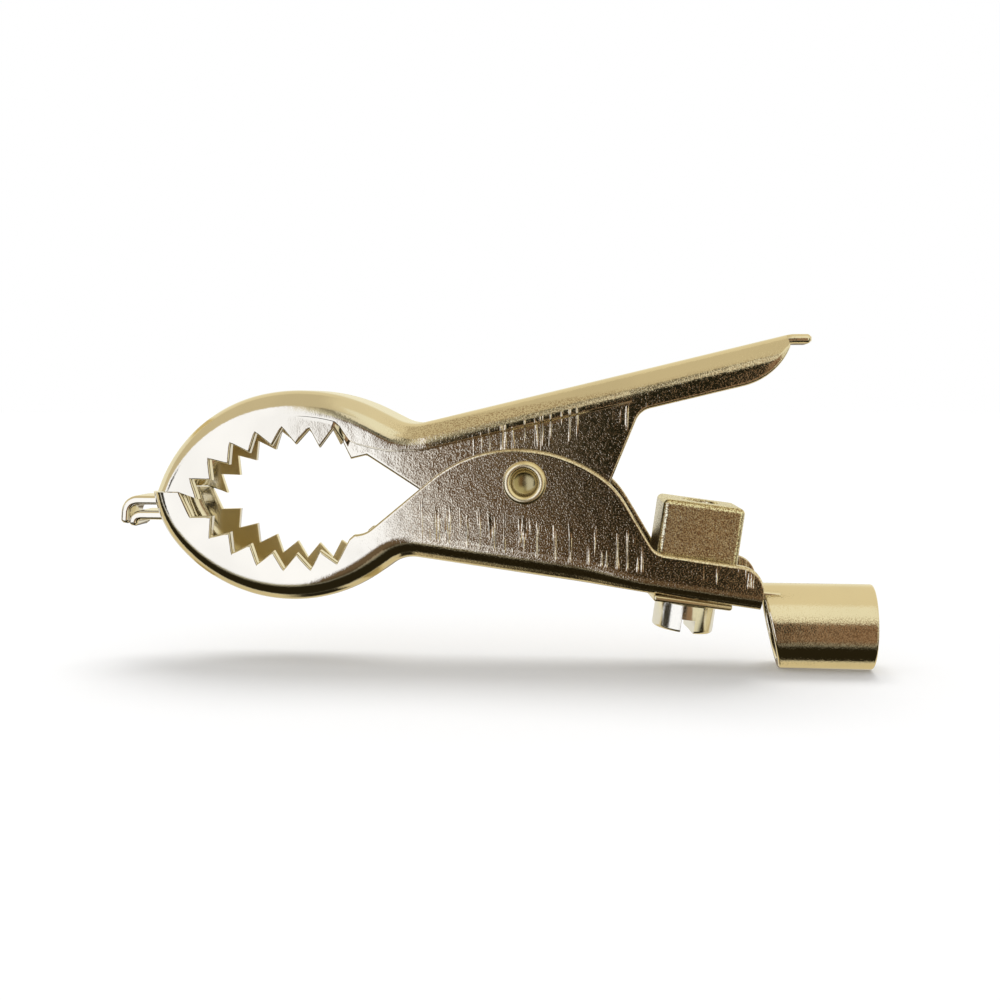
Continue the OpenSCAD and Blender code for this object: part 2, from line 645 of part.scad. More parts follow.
module lower_jaw() {
    color(nickel) difference() {
        union() {
            difference() {
                lofted_sheet(concat([lower_end], [for (q = reversed(lower_edge)) lower_station(q)]));
                nose_notch();
                tongue_slot();
            }
            lower_nose_tab();
            tongue();
            socket_barrel();
        }
        pivot_holes(rivet_r + rivet_seat);
        at_screw() cylinder(h = 2 * bend_r + sheet, r = screw_r + screw_room, center = true);
        translate([-socket_len - tongue_w, 0, 0]) rotate([0, 90, 0])
            cylinder(h = 2 * socket_len, r = socket_r);
    }
}

// Rivet with a set head on the far side and a ring rolled over on the near side
module pivot_rivet() {
    roll_r = (ring_r - ring_hole_r) / 2;
    color(steel) translate([pivot[0], 0, pivot[1]]) rotate([90, 0, 0]) difference() {
        union() {
            cylinder(h = 2 * half_w, r = rivet_r, center = true);
            translate([0, 0, -half_w - rivet_head_h])
                cylinder(h = rivet_head_h, r1 = rivet_head_r - rivet_head_h / 2, r2 = rivet_head_r);
            translate([0, 0, half_w]) rotate_extrude() intersection() {
                union() {
                    translate([(ring_r + ring_hole_r) / 2, ring_h - roll_r]) circle(roll_r);
                    square([ring_r, ring_h - roll_r]);
                }
                square([ring_r, ring_h]);
            }
        }
        translate([0, 0, half_w - ring_hole_depth]) cylinder(h = reach, r = ring_hole_r);
        translate([0, 0, half_w - ring_hole_depth - ring_hole_r / 2])
            cylinder(h = ring_hole_r / 2, r1 = 0, r2 = ring_hole_r);
    }
}

// The spring's wire runs in along its lower leg, winds round the rivet and leaves along its upper leg
module torsion_spring() {
    lower_reach = channel_off - sheet - wire_d / 2 - leg_gap;
    upper_reach = handle_off - sheet - wire_d / 2 - leg_gap;
    lower_leg = (lower_reach - coil_r * cos(leg_rake)) / sin(leg_rake);
    upper_leg = (upper_reach - coil_r * cos(leg_rake)) / sin(leg_rake);
    first = 270 - channel_tilt - leg_rake;
    last = 90 + handle_tilt + leg_rake - 360 * coil_turns;
    steps_per_turn = 20;
    steps = ceil((first - last) / 360 * steps_per_turn);
    rise = (wire_d + turn_gap) * (first - last) / 360;
    coil = [
        for (k = [0 : steps])
            let (a = first + (last - first) * k / steps)
            [coil_r * cos(a), coil_r * sin(a), rise * (k / steps - 0.5), a - 90]
    ];
    lower_way = [sin(first), -cos(first), 0, 0];
    upper_way = [sin(last), -cos(last), 0, 0];
    route = concat([coil[0] - lower_leg * lower_way], coil, [coil[steps] + upper_leg * upper_way]);
    sides = 8;
    wire_r = wire_d / 2;
    points = [
        for (q = route) for (s = [0 : sides - 1])
            let (a = 360 * s / sides, off = wire_r * cos(a))
            [q[0] - off * sin(q[3]), q[1] + off * cos(q[3]), q[2] + wire_r * sin(a)]
    ];
    rings = len(route);
    walls = [
        for (k = [0 : rings - 2]) for (s = [0 : sides - 1])
            let (a = k * sides + s, b = k * sides + (s + 1) % sides)
            each [[a, b + sides, b], [a, a + sides, b + sides]]
    ];
    ends = [
        [for (s = [0 : sides - 1]) s],
        [for (s = [sides - 1 : -1 : 0]) (rings - 1) * sides + s]
    ];
    color(steel) translate([pivot[0], 0, pivot[1]]) rotate([90, 0, 0])
        polyhedron(points, concat(walls, ends));
}

// Stands a piece on the screw's axis, with its zero height on the channel's outer face
module at_screw() {
    place = lower_at(screw_at, channel_off);
    translate([place[0], 0, place[1]]) rotate([0, channel_tilt, 0]) children();
}

// Slotted screw, which hangs by its head below the washer plate
module clamp_screw() {
    tip = sheet + block_rise + block_h - tip_below;
    seat = -washer_t - head_gap;
    color(steel) at_screw() difference() {
        union() {
            translate([0, 0, seat]) cylinder(h = tip - seat, r = screw_r);
            translate([0, 0, seat - head_h]) rotate_extrude() {
                translate([0, head_edge_r]) square([head_d / 2, head_h - head_edge_r]);
                square([head_d / 2 - head_edge_r, head_h]);
                translate([head_d / 2 - head_edge_r, head_edge_r]) circle(head_edge_r);
            }
        }
        translate([0, 0, seat - head_h]) rotate([0, 0, slot_turn])
            cube([slot_w, 2 * head_d, 2 * slot_depth], center = true);
    }
}

module washer_plate() {
    color(nickel) at_screw() rotate([0, 0, washer_turn]) difference() {
        translate([0, 0, -washer_t / 2]) cube([washer_side, washer_side, washer_t], center = true);
        cylinder(h = 4 * washer_t, r = screw_r + screw_room, center = true);
    }
}

// A square with rounded corners, extruded upward about its middle
module rounded_bar(x, y, r, h) {
    linear_extrude(h, center = true) {
        square([x - 2 * r, y], center = true);
        square([x, y - 2 * r], center = true);
        for (sx = [-1, 1]) for (sy = [-1, 1]) translate([sx * (x / 2 - r), sy * (y / 2 - r)]) circle(r);
    }
}

// Block that the screw draws down on the wire, rounded along all its edges
module clamp_block() {
    middle = sheet + block_rise + block_h / 2;
    color(nickel) at_screw() translate([0, 0, middle]) rotate([0, 0, block_turn]) difference() {
        intersection() {
            rounded_bar(block_len, block_w, block_edge_r, block_h);
            rotate([90, 0, 0]) rounded_bar(block_len, block_h, block_edge_r, block_w);
            rotate([90, 0, 90]) rounded_bar(block_w, block_h, block_edge_r, block_len);
        }
        cylinder(h = 2 * block_h, r = screw_r + thread_gap, center = true);
    }
}

upper_jaw();
lower_jaw();
pivot_rivet();
torsion_spring();
clamp_screw();
washer_plate();
clamp_block();
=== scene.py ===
"""Crocodile clip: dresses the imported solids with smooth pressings, turned pieces and nickel finishes."""
from math import acos, asin, atan2, ceil, cos, degrees, pi, radians, sin, sqrt, tan

import bmesh
import bpy
from bpy.props import FloatProperty, FloatVectorProperty, IntProperty, PointerProperty
from mathutils import Matrix, Vector


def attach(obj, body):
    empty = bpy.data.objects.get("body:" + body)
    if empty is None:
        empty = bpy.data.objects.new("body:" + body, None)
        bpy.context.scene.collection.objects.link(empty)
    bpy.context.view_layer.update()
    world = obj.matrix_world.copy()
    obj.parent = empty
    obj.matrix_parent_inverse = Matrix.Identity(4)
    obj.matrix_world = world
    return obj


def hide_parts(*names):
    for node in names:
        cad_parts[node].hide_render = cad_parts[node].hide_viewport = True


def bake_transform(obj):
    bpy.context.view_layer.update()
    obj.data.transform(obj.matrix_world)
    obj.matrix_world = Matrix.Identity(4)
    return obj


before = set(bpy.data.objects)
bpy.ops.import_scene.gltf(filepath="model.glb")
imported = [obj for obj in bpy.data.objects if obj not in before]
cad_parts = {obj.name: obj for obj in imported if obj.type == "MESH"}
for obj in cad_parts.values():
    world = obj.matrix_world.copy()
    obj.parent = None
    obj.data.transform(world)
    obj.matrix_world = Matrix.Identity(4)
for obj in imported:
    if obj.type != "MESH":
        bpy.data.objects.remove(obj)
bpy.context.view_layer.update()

bl_info = {
    "name": "Crocodile clip",
    "version": (1, 0, 0),
    "blender": (4, 5, 0),
    "location": "View3D > Sidebar > Clip",
    "description": "Builds a spring clip with toothed jaws, a wire clamp and a plug socket",
    "category": "Add Mesh",
}

MM = 0.001
# Angle between faces from which an edge is shaded sharp, in degrees
SHARP = 38.0
# Distance at which points of a new mesh are one, in metres
SAME_PLACE = 1e-7
# Teeth that both rows have, and stations along each flank of a tooth
TEETH, FLANK_PARTS = 6, 4
# Parts of a pressing's outer face, in the order of its path
HANDLE, NECK, FLAT, CROWN, BROW = range(5)
# Angle by which the last arc of each jaw runs on past its nose, and angle of it that a nose tab overlaps
NOSE_SWEEP, TAB_ROOT = 60.0, 8.0
# Straight wall between a bend and the step below it, and length of the slope of a wall without a step
BEND_REST, PLAIN_SLOPE = 0.1, 0.04
# Room round the rivet in the upper and the lower ears, and round the screw in sheet and in the block
UPPER_PLAY, LOWER_PLAY, SHEET_PLAY, BLOCK_PLAY = 0.05, 0.01, 0.2, 0.05
# Radius of the eased edges of the nose tabs, of the tab at the handle's end and of the tongue
NOSE_TAB_EASE, END_TAB_EASE, TONGUE_EASE = 0.24, 0.28, 0.14


def size(name, value, about):
    """A length in millimetres that a user may change."""
    return FloatProperty(name=name, description=about, default=value, min=0.0, unit="NONE", precision=3)


def angle(name, value, about):
    """An angle in degrees that a user may change."""
    return FloatProperty(name=name, description=about, default=value, unit="NONE", precision=2)


def tint(name, value, about):
    """A colour that a user may change."""
    return FloatVectorProperty(
        name=name, description=about, default=value, size=3, min=0.0, max=1.0, subtype="COLOR")


class ClipSheet(bpy.types.PropertyGroup):
    """Sizes that both pressings share, in millimetres."""

    sheet: size("Sheet", 0.6, "Thickness of the sheet")
    jaw_w: size("Jaw width", 6.6, "Outside width across the jaws")
    bend_r: size("Jaw bend", 1.5, "Outside radius of the bend round the jaws")
    handle_bend_r: size("Handle bend", 1.6, "Outside radius of the bend along the handle")
    ear_gap: size("Ear gap", 0.05, "Gap on each side between the ears")
    pivot_back: size("Pivot back", 21.8, "Distance from the socket's mouth to the pivot")
    pivot_up: size("Pivot up", 9.2, "Height of the pivot above the socket's axis")
    rivet_r: size("Rivet radius", 1.1, "Radius of the rivet's shank")
    mouth_reach: size("Mouth reach", 14.7, "Distance from the pivot to the centre of the mouth")
    mouth_drop: size("Mouth drop", 1.12, "Height of the mouth's centre line below the pivot")
    mouth_rise: size("Mouth rise", 3.8, "Distance of each tooth row's centre from the mouth's centre line")
    tip_r: size("Tip radius", 7.25, "Radius through the tips of the teeth")
    tooth_depth: size("Tooth depth", 1.05, "Depth of the teeth")
    tooth_pitch: angle("Tooth pitch", 12.1, "Angle from one tooth to the next, in degrees")
    first_tooth: angle("First tooth", 137.0, "Angle of the first tooth that both jaws have, in degrees")
    last_tooth: angle("Last tooth", 60.5, "Angle of the last tooth, in degrees")
    last_valley: angle("Last valley", 72.4, "Angle of the valley before the upper row's last tooth, in degrees")
    last_valley_depth: size("Last valley depth", 1.44, "Depth of that valley below the tips")
    parting_drop: size("Parting drop", 0.75, "Height of the parting line below the pivot")
    parting_gap: size("Parting gap", 0.06, "Gap between the closed jaws")
    nose_land: size("Nose land", 1.95, "Length of wall at the nose before the teeth")
    edge_r: size("Outer edge", 0.2, "Radius of the eased outer edges of the walls")
    burr_r: size("Inner edge", 0.07, "Radius of the eased inner edges of the walls")


class ClipUpper(bpy.types.PropertyGroup):
    """Sizes of the upper pressing, in millimetres and degrees."""

    handle_tilt: angle("Handle tilt", 13.5, "Slope of the handle above level")
    handle_off: size("Handle height", 5.14, "Distance from the pivot to the handle's outer face")
    handle_len: size("Handle length", 17.7, "Length of the handle behind the pivot")
    taper_end: size("Taper end", 7.0, "Place where the handle reaches its narrow width")
    handle_wall: size("Handle wall", 2.45, "Depth of the handle's side walls")
    handle_end_r: size("Handle end", 4.0, "Radius of the round end of the side walls")
    end_wall: size("End wall", 0.75, "Depth of wall left at the end of the handle")
    neck_at: size("Neck", 5.45, "Distance from the pivot to the start of the neck")
    neck_r: size("Neck radius", 2.5, "Radius of the neck's hollow")
    neck_turn: angle("Neck turn", 40.0, "Angle that the sheet turns through in the neck")
    flat: size("Flat", 1.35, "Straight length between the neck and the jaw")
    crown_r: size("Crown", 11.6, "Radius of the jaw's crown")
    crown_sweep: angle("Crown sweep", 38.0, "Angle that the crown takes up")
    step_sweep: angle("Step sweep", 9.0, "Part of the crown that is stepped inward")
    step_fade: angle("Step fade", 19.5, "Part of the crown along which the rest of the step fades out")
    step_rest: size("Step rest", 0.1, "Share of the step that is left where its fading part starts")
    step_depth: size("Step depth", 1.2, "Depth of the step below the handle's outer face")
    step_dip: size("Step dip", 1.2, "Further depth of the step at the back of the jaw")
    brow_r: size("Brow", 9.5, "Radius of the jaw down to the nose")
    step_slope: size("Step slope", 0.12, "Length of the slope where the wall steps inward")
    lip_slope: angle("Lip slope", 32.5, "Slope of the mouth's straight edge")
    lip_ahead: size("Lip", 1.0, "Distance from the last tooth to the straight edge")
    ear_r: size("Ear", 4.06, "Radius of the ear round the pivot")
    ear_rear: size("Ear rear", 4.9, "Distance from the pivot to the ear's rear edge")
    ear_rear_angle: angle("Ear rear angle", 68.0, "Angle of the ear's rear edge")
    ear_fillet_r: size("Ear fillet", 1.25, "Radius of the fillet between ear and handle")
    tab_w: size("Tab width", 2.6, "Width of the tabs")
    tab_drop: size("Tab drop", 1.22, "Height of the nose tab's top below the pivot")
    tab_corner_r: size("Tab corner", 0.25, "Outside radius of the corner where a tab leaves its jaw")
    hook_reach: size("Hook reach", 2.9, "Reach of the hook in front of the jaw")
    hook_r: size("Hook radius", 1.15, "Outside radius of the hook")
    hook_turn: angle("Hook turn", 85.0, "Angle that the hook turns through")
    hook_tail: size("Hook tail", 0.75, "Straight length at the end of the hook")
    end_tab_len: size("End tab", 1.0, "Length of the tab at the end of the handle")
    end_tab_r: size("End tab bend", 2.5, "Radius through which the end tab levels out")


class ClipLower(bpy.types.PropertyGroup):
    """Sizes of the lower pressing, in millimetres and degrees."""

    channel_tilt: angle("Channel tilt", 7.8, "Slope of the channel below level")
    channel_off: size("Channel depth", 5.78, "Distance from the pivot to the channel's outer face")
    channel_len: size("Channel length", 15.5, "Length of the channel behind the pivot")
    channel_wall: size("Channel wall", 2.6, "Height of the channel's side walls")
    channel_bend_r: size("Channel bend", 0.95, "Outside radius of the bend along the channel")
    bend_from: size("Bend change from", 7.2, "Place along the channel where its bend starts to widen")
    bend_to: size("Bend change to", 11.5, "Place where the bend reaches that of the jaws")
    channel_end_r: size("Channel end", 1.5, "Radius of the round rear end of the walls")
    neck_at: size("Neck", 6.2, "Distance from the pivot to the start of the neck")
    neck_r: size("Neck radius", 2.2, "Radius of the neck's hollow")
    neck_turn: angle("Neck turn", 43.0, "Angle that the sheet turns through in the neck")
    flat: size("Flat", 1.1, "Straight length between the neck and the jaw")
    belly_r: size("Belly", 10.0, "Radius of the jaw's belly")
    belly_sweep: angle("Belly sweep", 84.0, "Angle that the belly takes up")
    chin_r: size("Chin", 6.8, "Radius of the jaw up to the nose")
    crest_up: size("Crest up", 2.1, "Height of the ear's top above the pivot")
    crest_ahead: size("Crest ahead", 0.6, "Distance of the ear's top forward of the pivot")
    shoulder_r: size("Shoulder", 8.2, "Radius of the ear's front shoulder")
    shoulder_sweep: angle("Shoulder sweep", 39.5, "Angle that the front shoulder takes up")
    mouth_ramp: size("Mouth ramp", 5.0, "Straight edge between mouth and shoulder")
    mouth_hollow_r: size("Mouth hollow", 1.8, "Radius of the hollow behind the teeth")
    back_r: size("Back", 9.3, "Radius of the ear's back")
    back_sweep: angle("Back sweep", 34.0, "Angle that the back takes up")
    rump_r: size("Rump", 5.5, "Radius of the ear's rear shoulder")
    rump_sweep: angle("Rump sweep", 25.0, "Angle that the rear shoulder takes up")
    rump_fillet_r: size("Rump fillet", 1.3, "Radius of the fillet between ear and channel")
    tab_gap: size("Tab gap", 0.2, "Gap between the nose tabs")
    tab_reach: size("Tab reach", 2.1, "Reach of the nose tab in front of the jaw")
    tab_hook_r: size("Tab hook", 0.25, "Inside radius of the nose tab's turned-down end")
    tab_hook_tail: size("Tab tail", 0.2, "Straight length at the nose tab's turned-down end")
    tab_room: size("Tab room", 0.3, "Room beside a tab where it passes the other jaw")
    socket_d: size("Socket bore", 4.2, "Bore of the socket")
    socket_len: size("Socket length", 7.0, "Length of the socket along its top")
    socket_lean: angle("Socket lean", 12.0, "Lean of the socket's inner end")
    seam_w: size("Seam", 0.12, "Width of the seam under the socket")
    tongue_w: size("Tongue width", 3.2, "Width of the tongue between channel and socket")
    tongue_at: size("Tongue", 13.6, "Place where the tongue rises out of the channel")
    tongue_slope: angle("Tongue slope", 20.0, "Slope of the rising part of the tongue")
    tongue_r: size("Tongue bends", 1.0, "Radius of the bends in the tongue")


class ClipClamp(bpy.types.PropertyGroup):
    """Sizes of the rivet, the spring and the wire clamp, in millimetres and degrees."""

    rivet_head_r: size("Rivet head", 1.7, "Radius of the rivet's set head")
    rivet_head_h: size("Rivet head height", 0.45, "Height of the rivet's set head")
    ring_r: size("Ring", 1.36, "Outside radius of the rolled ring")
    ring_hole_r: size("Ring hole", 0.82, "Radius of the hole in the rolled ring")
    ring_h: size("Ring height", 0.35, "Height of the rolled ring")
    bowl_depth: size("Bowl depth", 0.42, "Depth of the hollow in the rivet's rolled end")
    screw_at: size("Screw", 11.05, "Distance from the pivot to the screw, along the channel")
    screw_r: size("Screw radius", 1.1, "Radius of the screw's thread")
    thread_pitch: size("Thread pitch", 0.45, "Rise of the screw's thread in one turn")
    head_d: size("Head", 3.86, "Diameter of the screw's head")
    head_h: size("Head height", 1.8, "Height of the screw's head")
    slot_w: size("Slot", 0.85, "Width of the screw's slot")
    slot_depth: size("Slot depth", 0.85, "Depth of the screw's slot")
    slot_turn: angle("Slot turn", 8.0, "Angle of the slot from straight across")
    washer_side: size("Washer side", 5.0, "Side of the square washer plate")
    washer_t: size("Washer thickness", 0.42, "Thickness of the washer plate")
    washer_turn: angle("Washer turn", 8.0, "Angle at which the washer plate lies")
    head_gap: size("Head gap", 0.05, "Gap between washer plate and head")
    block_len: size("Block length", 5.1, "Length of the clamp block")
    block_w: size("Block width", 4.7, "Width of the clamp block")
    block_h: size("Block height", 3.9, "Height of the clamp block")
    block_rise: size("Block rise", 1.5, "Height of the block over the channel's floor")
    block_turn: angle("Block turn", 5.0, "Angle at which the block lies")
    block_edge_r: size("Block edge", 0.35, "Radius of the block's edges")
    tip_below: size("Tip", 0.3, "Depth of the screw's tip below the block's top")
    wire_d: size("Wire", 0.7, "Diameter of the spring's wire")
    coil_gap: size("Coil gap", 0.3, "Clearance between coil and rivet")
    coil_turns: IntProperty(name="Coil turns", description="Whole turns of the coil", default=4, min=1)
    turn_gap: size("Turn gap", 0.03, "Gap between the turns of the coil")
    leg_rake: angle("Leg rake", 25.0, "Angle of each leg to the sheet")
    leg_gap: size("Leg gap", 0.03, "Gap between a leg and the sheet")


class ClipFinish(bpy.types.PropertyGroup):
    """Colours of the finishes."""

    nickel: tint("Nickel", (0.88, 0.84, 0.74), "Plating on the two pressings")
    bright: tint("Bright nickel", (0.88, 0.85, 0.76), "Plating on the turned pieces")
    # Painted shade on the jaws' inner faces: a darker, yellower colour standing in for the shade between the walls
    inside: tint("Inside", (0.76, 0.64, 0.36), "Thin plating on the inner faces of the jaws")
    block: tint("Block", (0.92, 0.92, 0.74), "Plating on the tumbled block")
    rivet: tint("Rivet", (0.86, 0.79, 0.60), "Plating on the rivet and the washer plate")
    # Painted shade in the rivet's rolled end: a darker colour standing in for the shade in its hollow
    hollow: tint("Hollow", (0.42, 0.36, 0.20), "Dulled plating in the rivet's rolled end")
    wire: tint("Wire", (0.36, 0.35, 0.33), "Plain spring wire")
    floor: tint("Floor", (0.98, 0.98, 0.98), "Floor under the clip")


GROUPS = {
    "clip_sheet": ClipSheet, "clip_upper": ClipUpper, "clip_lower": ClipLower,
    "clip_clamp": ClipClamp, "clip_finish": ClipFinish,
}


def held(name):
    """One of the scene's groups of sizes."""
    return getattr(bpy.context.scene, name)


# Outlines in the side view, in millimetres, with x along the clip and z up


def turn(h):
    """Unit vector at a heading in degrees."""
    return Vector((cos(radians(h)), sin(radians(h))))


def sense(seg):
    """1 where an arc bends inward, -1 where it bends outward."""
    return 1 if seg[1] > 0 else -1


class Path:
    """One face of the sheet, seen from the side. Segments are (0, length) or (radius, turn in degrees).

    side is 1 where inward lies to the left of the way along the path, and -1 where it lies to the right.
    """

    def __init__(self, start, heading, side, segments):
        self.side = side
        self.segments = segments
        self.knots = [(Vector(start), heading)]
        for seg in segments:
            self.knots.append(self.after(*self.knots[-1], seg))

    def inward(self, h):
        """Unit vector into the sheet at a heading."""
        return self.side * Vector((-sin(radians(h)), cos(radians(h))))

    def hub(self, p, h, seg):
        """Centre of an arc that starts at p."""
        return p + sense(seg) * seg[0] * self.inward(h)

    def after(self, p, h, seg):
        """Point and heading at the end of a segment that starts at p."""
        if seg[0] == 0:
            return p + seg[1] * turn(h), h
        end = h + self.side * seg[1]
        return self.hub(p, h, seg) - sense(seg) * seg[0] * self.inward(end), end

    def foot(self, q):
        """(point, heading, segment, way into it) of the square foot of q on the path."""
        for i, seg in enumerate(self.segments):
            p, h = self.knots[i]
            if seg[0] == 0:
                t, end = (q - p).dot(turn(h)), seg[1]
            else:
                a, b = p - self.hub(p, h, seg), q - self.hub(p, h, seg)
                way = self.side * sense(seg)
                t = way * degrees(atan2(a.x * b.y - a.y * b.x, a.dot(b)))
                end = abs(seg[1])
            if t <= end or i == len(self.segments) - 1:
                part = (0, t) if seg[0] == 0 else (seg[0], t if seg[1] > 0 else -t)
                return *self.after(p, h, part), i, t

    def points(self, inset=0.0, step=2.5):
        """Points along the path, moved inward by inset, as (point, heading)."""
        out = []
        for (p, h), seg in zip(self.knots, self.segments):
            count = 1 if seg[0] == 0 else max(2, ceil(abs(seg[1]) / step))
            for k in range(count):
                q, g = self.after(p, h, (seg[0], seg[1] * k / count)) if k else (p, h)
                out.append((q + inset * self.inward(g), g))
        p, h = self.knots[-1]
        out.append((p + inset * self.inward(h), h))
        return out


def divided(points, parts):
    """The points with parts - 1 more between each two."""
    out = []
    for a, b in zip(points, points[1:]):
        out += [a.lerp(b, k / parts) for k in range(parts)]
    return out + [points[-1]]


def smooth(x):
    """0 to 1 for x from 0 to 1, level at both ends."""
    x = min(1.0, max(0.0, x))
    return x * x * (3 - 2 * x)


class Outline:
    """Every outline of the two pressings, worked out from the sizes."""

    def __init__(self):
        c, u, w = held("clip_sheet"), held("clip_upper"), held("clip_lower")
        self.c, self.u, self.w = c, u, w
        self.half = c.jaw_w / 2
        self.inner_half = self.half - c.sheet - c.ear_gap
        self.pivot = Vector((-c.pivot_back, c.pivot_up))
        self.parting = c.pivot_up - c.parting_drop
        self.mouth = self.pivot + Vector((-c.mouth_reach, -c.mouth_drop))
        self.upper = Path(self.upper_at(u.handle_len, u.handle_off), 180 + u.handle_tilt, 1, [
            (0, u.handle_len + u.neck_at), (u.neck_r, -u.neck_turn), (0, u.flat),
            (u.crown_r, u.crown_sweep), (u.brow_r, NOSE_SWEEP)])
        self.lower = Path(self.lower_at(w.channel_len, w.channel_off), 180 - w.channel_tilt, -1, [
            (0, w.channel_len + w.neck_at), (w.neck_r, -w.neck_turn), (0, w.flat),
            (w.belly_r, w.belly_sweep), (w.chin_r, NOSE_SWEEP)])
        self.brow_hub = self.upper.hub(*self.upper.knots[BROW], self.upper.segments[BROW])
        self.chin_hub = self.lower.hub(*self.lower.knots[BROW], self.lower.segments[BROW])
        self.upper_nose_x = self.brow_hub.x - sqrt(u.brow_r ** 2 - (self.parting - self.brow_hub.y) ** 2)
        self.lower_nose_x = self.chin_hub.x - sqrt(w.chin_r ** 2 - (self.parting - self.chin_hub.y) ** 2)
        self.teeth_x = max(self.upper_nose_x, self.lower_nose_x) + c.nose_land

    def upper_at(self, along, out):
        """Point at a distance along the handle and out from it, from the pivot."""
        a = radians(self.u.handle_tilt)
        return self.pivot + along * Vector((cos(a), sin(a))) + out * Vector((-sin(a), cos(a)))

    def lower_at(self, along, out):
        """Point at a distance along the channel and out from it, from the pivot."""
        a = radians(self.w.channel_tilt)
        return self.pivot + along * Vector((cos(a), -sin(a))) - out * Vector((sin(a), cos(a)))

    def mouth_at(self, side, r, a):
        """Point at radius r and angle a of a tooth row: side is 1 for the upper row, -1 for the lower."""
        return self.mouth + Vector((r * cos(radians(a)), side * (r * sin(radians(a)) - self.c.mouth_rise)))

    def plain(self, r, depth):
        """Cross-section without a step, with bends of radius r."""
        return self.half, self.half, r, r + BEND_REST, depth, PLAIN_SLOPE

    def row(self, side):
        """Tips and valleys of one row of teeth, from the nose back."""
        c = self.c
        out = []
        for k in range(TEETH):
            a = c.first_tooth - k * c.tooth_pitch
            out.append(self.mouth_at(side, c.tip_r + c.tooth_depth, a + c.tooth_pitch / 2))
            out.append(self.mouth_at(side, c.tip_r, a))
        if side > 0:
            return out + [self.mouth_at(side, c.tip_r + c.last_valley_depth, c.last_valley)]
        return out + [self.mouth_at(side, c.tip_r + c.tooth_depth, a - c.tooth_pitch / 2)]

    def upper_edge(self):
        """Edge of the upper wall, from the end of the handle to the first tooth."""
        c, u = self.c, self.u
        end_parts, wall_parts, ear_parts, lip_parts = 16, 8, 22, 28
        ear_sweep = 66
        end_turn = acos(1 - (u.handle_wall - u.end_wall) / u.handle_end_r)
        edge = []
        for k in range(end_parts):
            a = end_turn * (1 - k / end_parts)
            edge.append(self.upper_at(
                u.handle_len - u.handle_end_r * (sin(end_turn) - sin(a)),
                u.handle_off - u.handle_wall + u.handle_end_r * (1 - cos(a))))
        edge.append(self.upper_at(
            u.handle_len - u.handle_end_r * sin(end_turn), u.handle_off - u.handle_wall))
        b = radians(u.ear_rear_angle)
        rear = self.pivot + u.ear_rear * Vector((sin(b), -cos(b)))
        bend = u.ear_rear_angle - u.handle_tilt
        tilt = radians(u.handle_tilt)
        drop = u.handle_off - u.handle_wall - (rear - self.pivot).dot(Vector((-sin(tilt), cos(tilt))))
        run = (drop - u.ear_fillet_r * (1 - cos(radians(bend)))) / sin(radians(bend))
        ear = Path(rear, u.ear_rear_angle, 1, [(0, run), (u.ear_fillet_r, -bend)])
        fillet = [p for p, _ in ear.points(step=4.0)]
        edge += divided([edge.pop(), fillet[-1]], wall_parts)[:-1] + list(reversed(fillet))
        slope = radians(u.lip_slope)
        for k in range(ear_parts + 1):
            a = slope - radians(ear_sweep * (1 - k / ear_parts))
            edge.append(self.pivot + u.ear_r * Vector((-sin(a), -cos(a))))
        foot = edge.pop()
        tip = self.mouth_at(1, c.tip_r, c.last_tooth)
        x = tip.x + u.lip_ahead
        lip = Vector((x, foot.y + (foot.x - x) * tan(slope)))
        edge += divided([foot, lip], lip_parts)
        first = self.mouth_at(1, c.tip_r, c.first_tooth + c.tooth_pitch)
        edge += divided([tip] + list(reversed([first] + self.row(1))), FLANK_PARTS)
        return edge

    def lower_edge(self):
        """Edge of the lower wall, from the rear of the channel to the nose."""
        c, w = self.c, self.w
        ramp_parts, nose_parts = 16, 12
        crest = self.pivot + Vector((-w.crest_ahead, w.crest_up))
        a = radians(w.shoulder_sweep)
        shoulder = crest - w.shoulder_r * Vector((sin(a), 1 - cos(a)))
        ramp = shoulder - w.mouth_ramp * Vector((cos(a), sin(a)))
        hollow = ramp - w.mouth_hollow_r * Vector((sin(a), 1 - cos(a)))
        back = Path(crest, 0.0, 1, [(w.back_r, -w.back_sweep), (w.rump_r, -w.rump_sweep)])
        place, heading = back.knots[-1]
        bend = w.back_sweep + w.rump_sweep - w.channel_tilt
        tilt = radians(w.channel_tilt)
        drop = w.channel_off - w.channel_wall + (place - self.pivot).dot(Vector((sin(tilt), cos(tilt))))
        run = (drop - w.rump_fillet_r * (1 - cos(radians(bend)))) / sin(radians(bend))
        fillet = Path(place, heading, 1, [(0, run), (w.rump_fillet_r, bend)]).knots[-1][0]
        along = (fillet - self.pivot).dot(Vector((cos(tilt), -sin(tilt))))
        ear = Path(shoulder, w.shoulder_sweep, 1, [
            (w.shoulder_r, -w.shoulder_sweep), (w.back_r, -w.back_sweep), (w.rump_r, -w.rump_sweep),
            (0, run), (w.rump_fillet_r, bend),
            (0, w.channel_len - w.channel_end_r - along), (w.channel_end_r, -90)])
        edge = [p for p, _ in reversed(ear.points(step=3.0))]
        edge += divided([edge.pop(), ramp], ramp_parts)[:-1]
        dip = Path(hollow, 0.0, 1, [(w.mouth_hollow_r, w.shoulder_sweep)])
        edge += [p for p, _ in reversed(dip.points(step=4.0))]
        tip = self.mouth_at(-1, c.tip_r, c.last_tooth)
        teeth = divided([tip] + list(reversed(self.row(-1))), FLANK_PARTS)
        nose = Vector((self.teeth_x, self.parting - c.parting_gap / 2))
        return edge + teeth + divided([teeth[-1], nose], nose_parts)[1:-1]


# Meshes


def new_object(name, data):
    """Puts a new object in the scene."""
    obj = bpy.data.objects.new(name, data)
    bpy.context.scene.collection.objects.link(obj)
    return obj


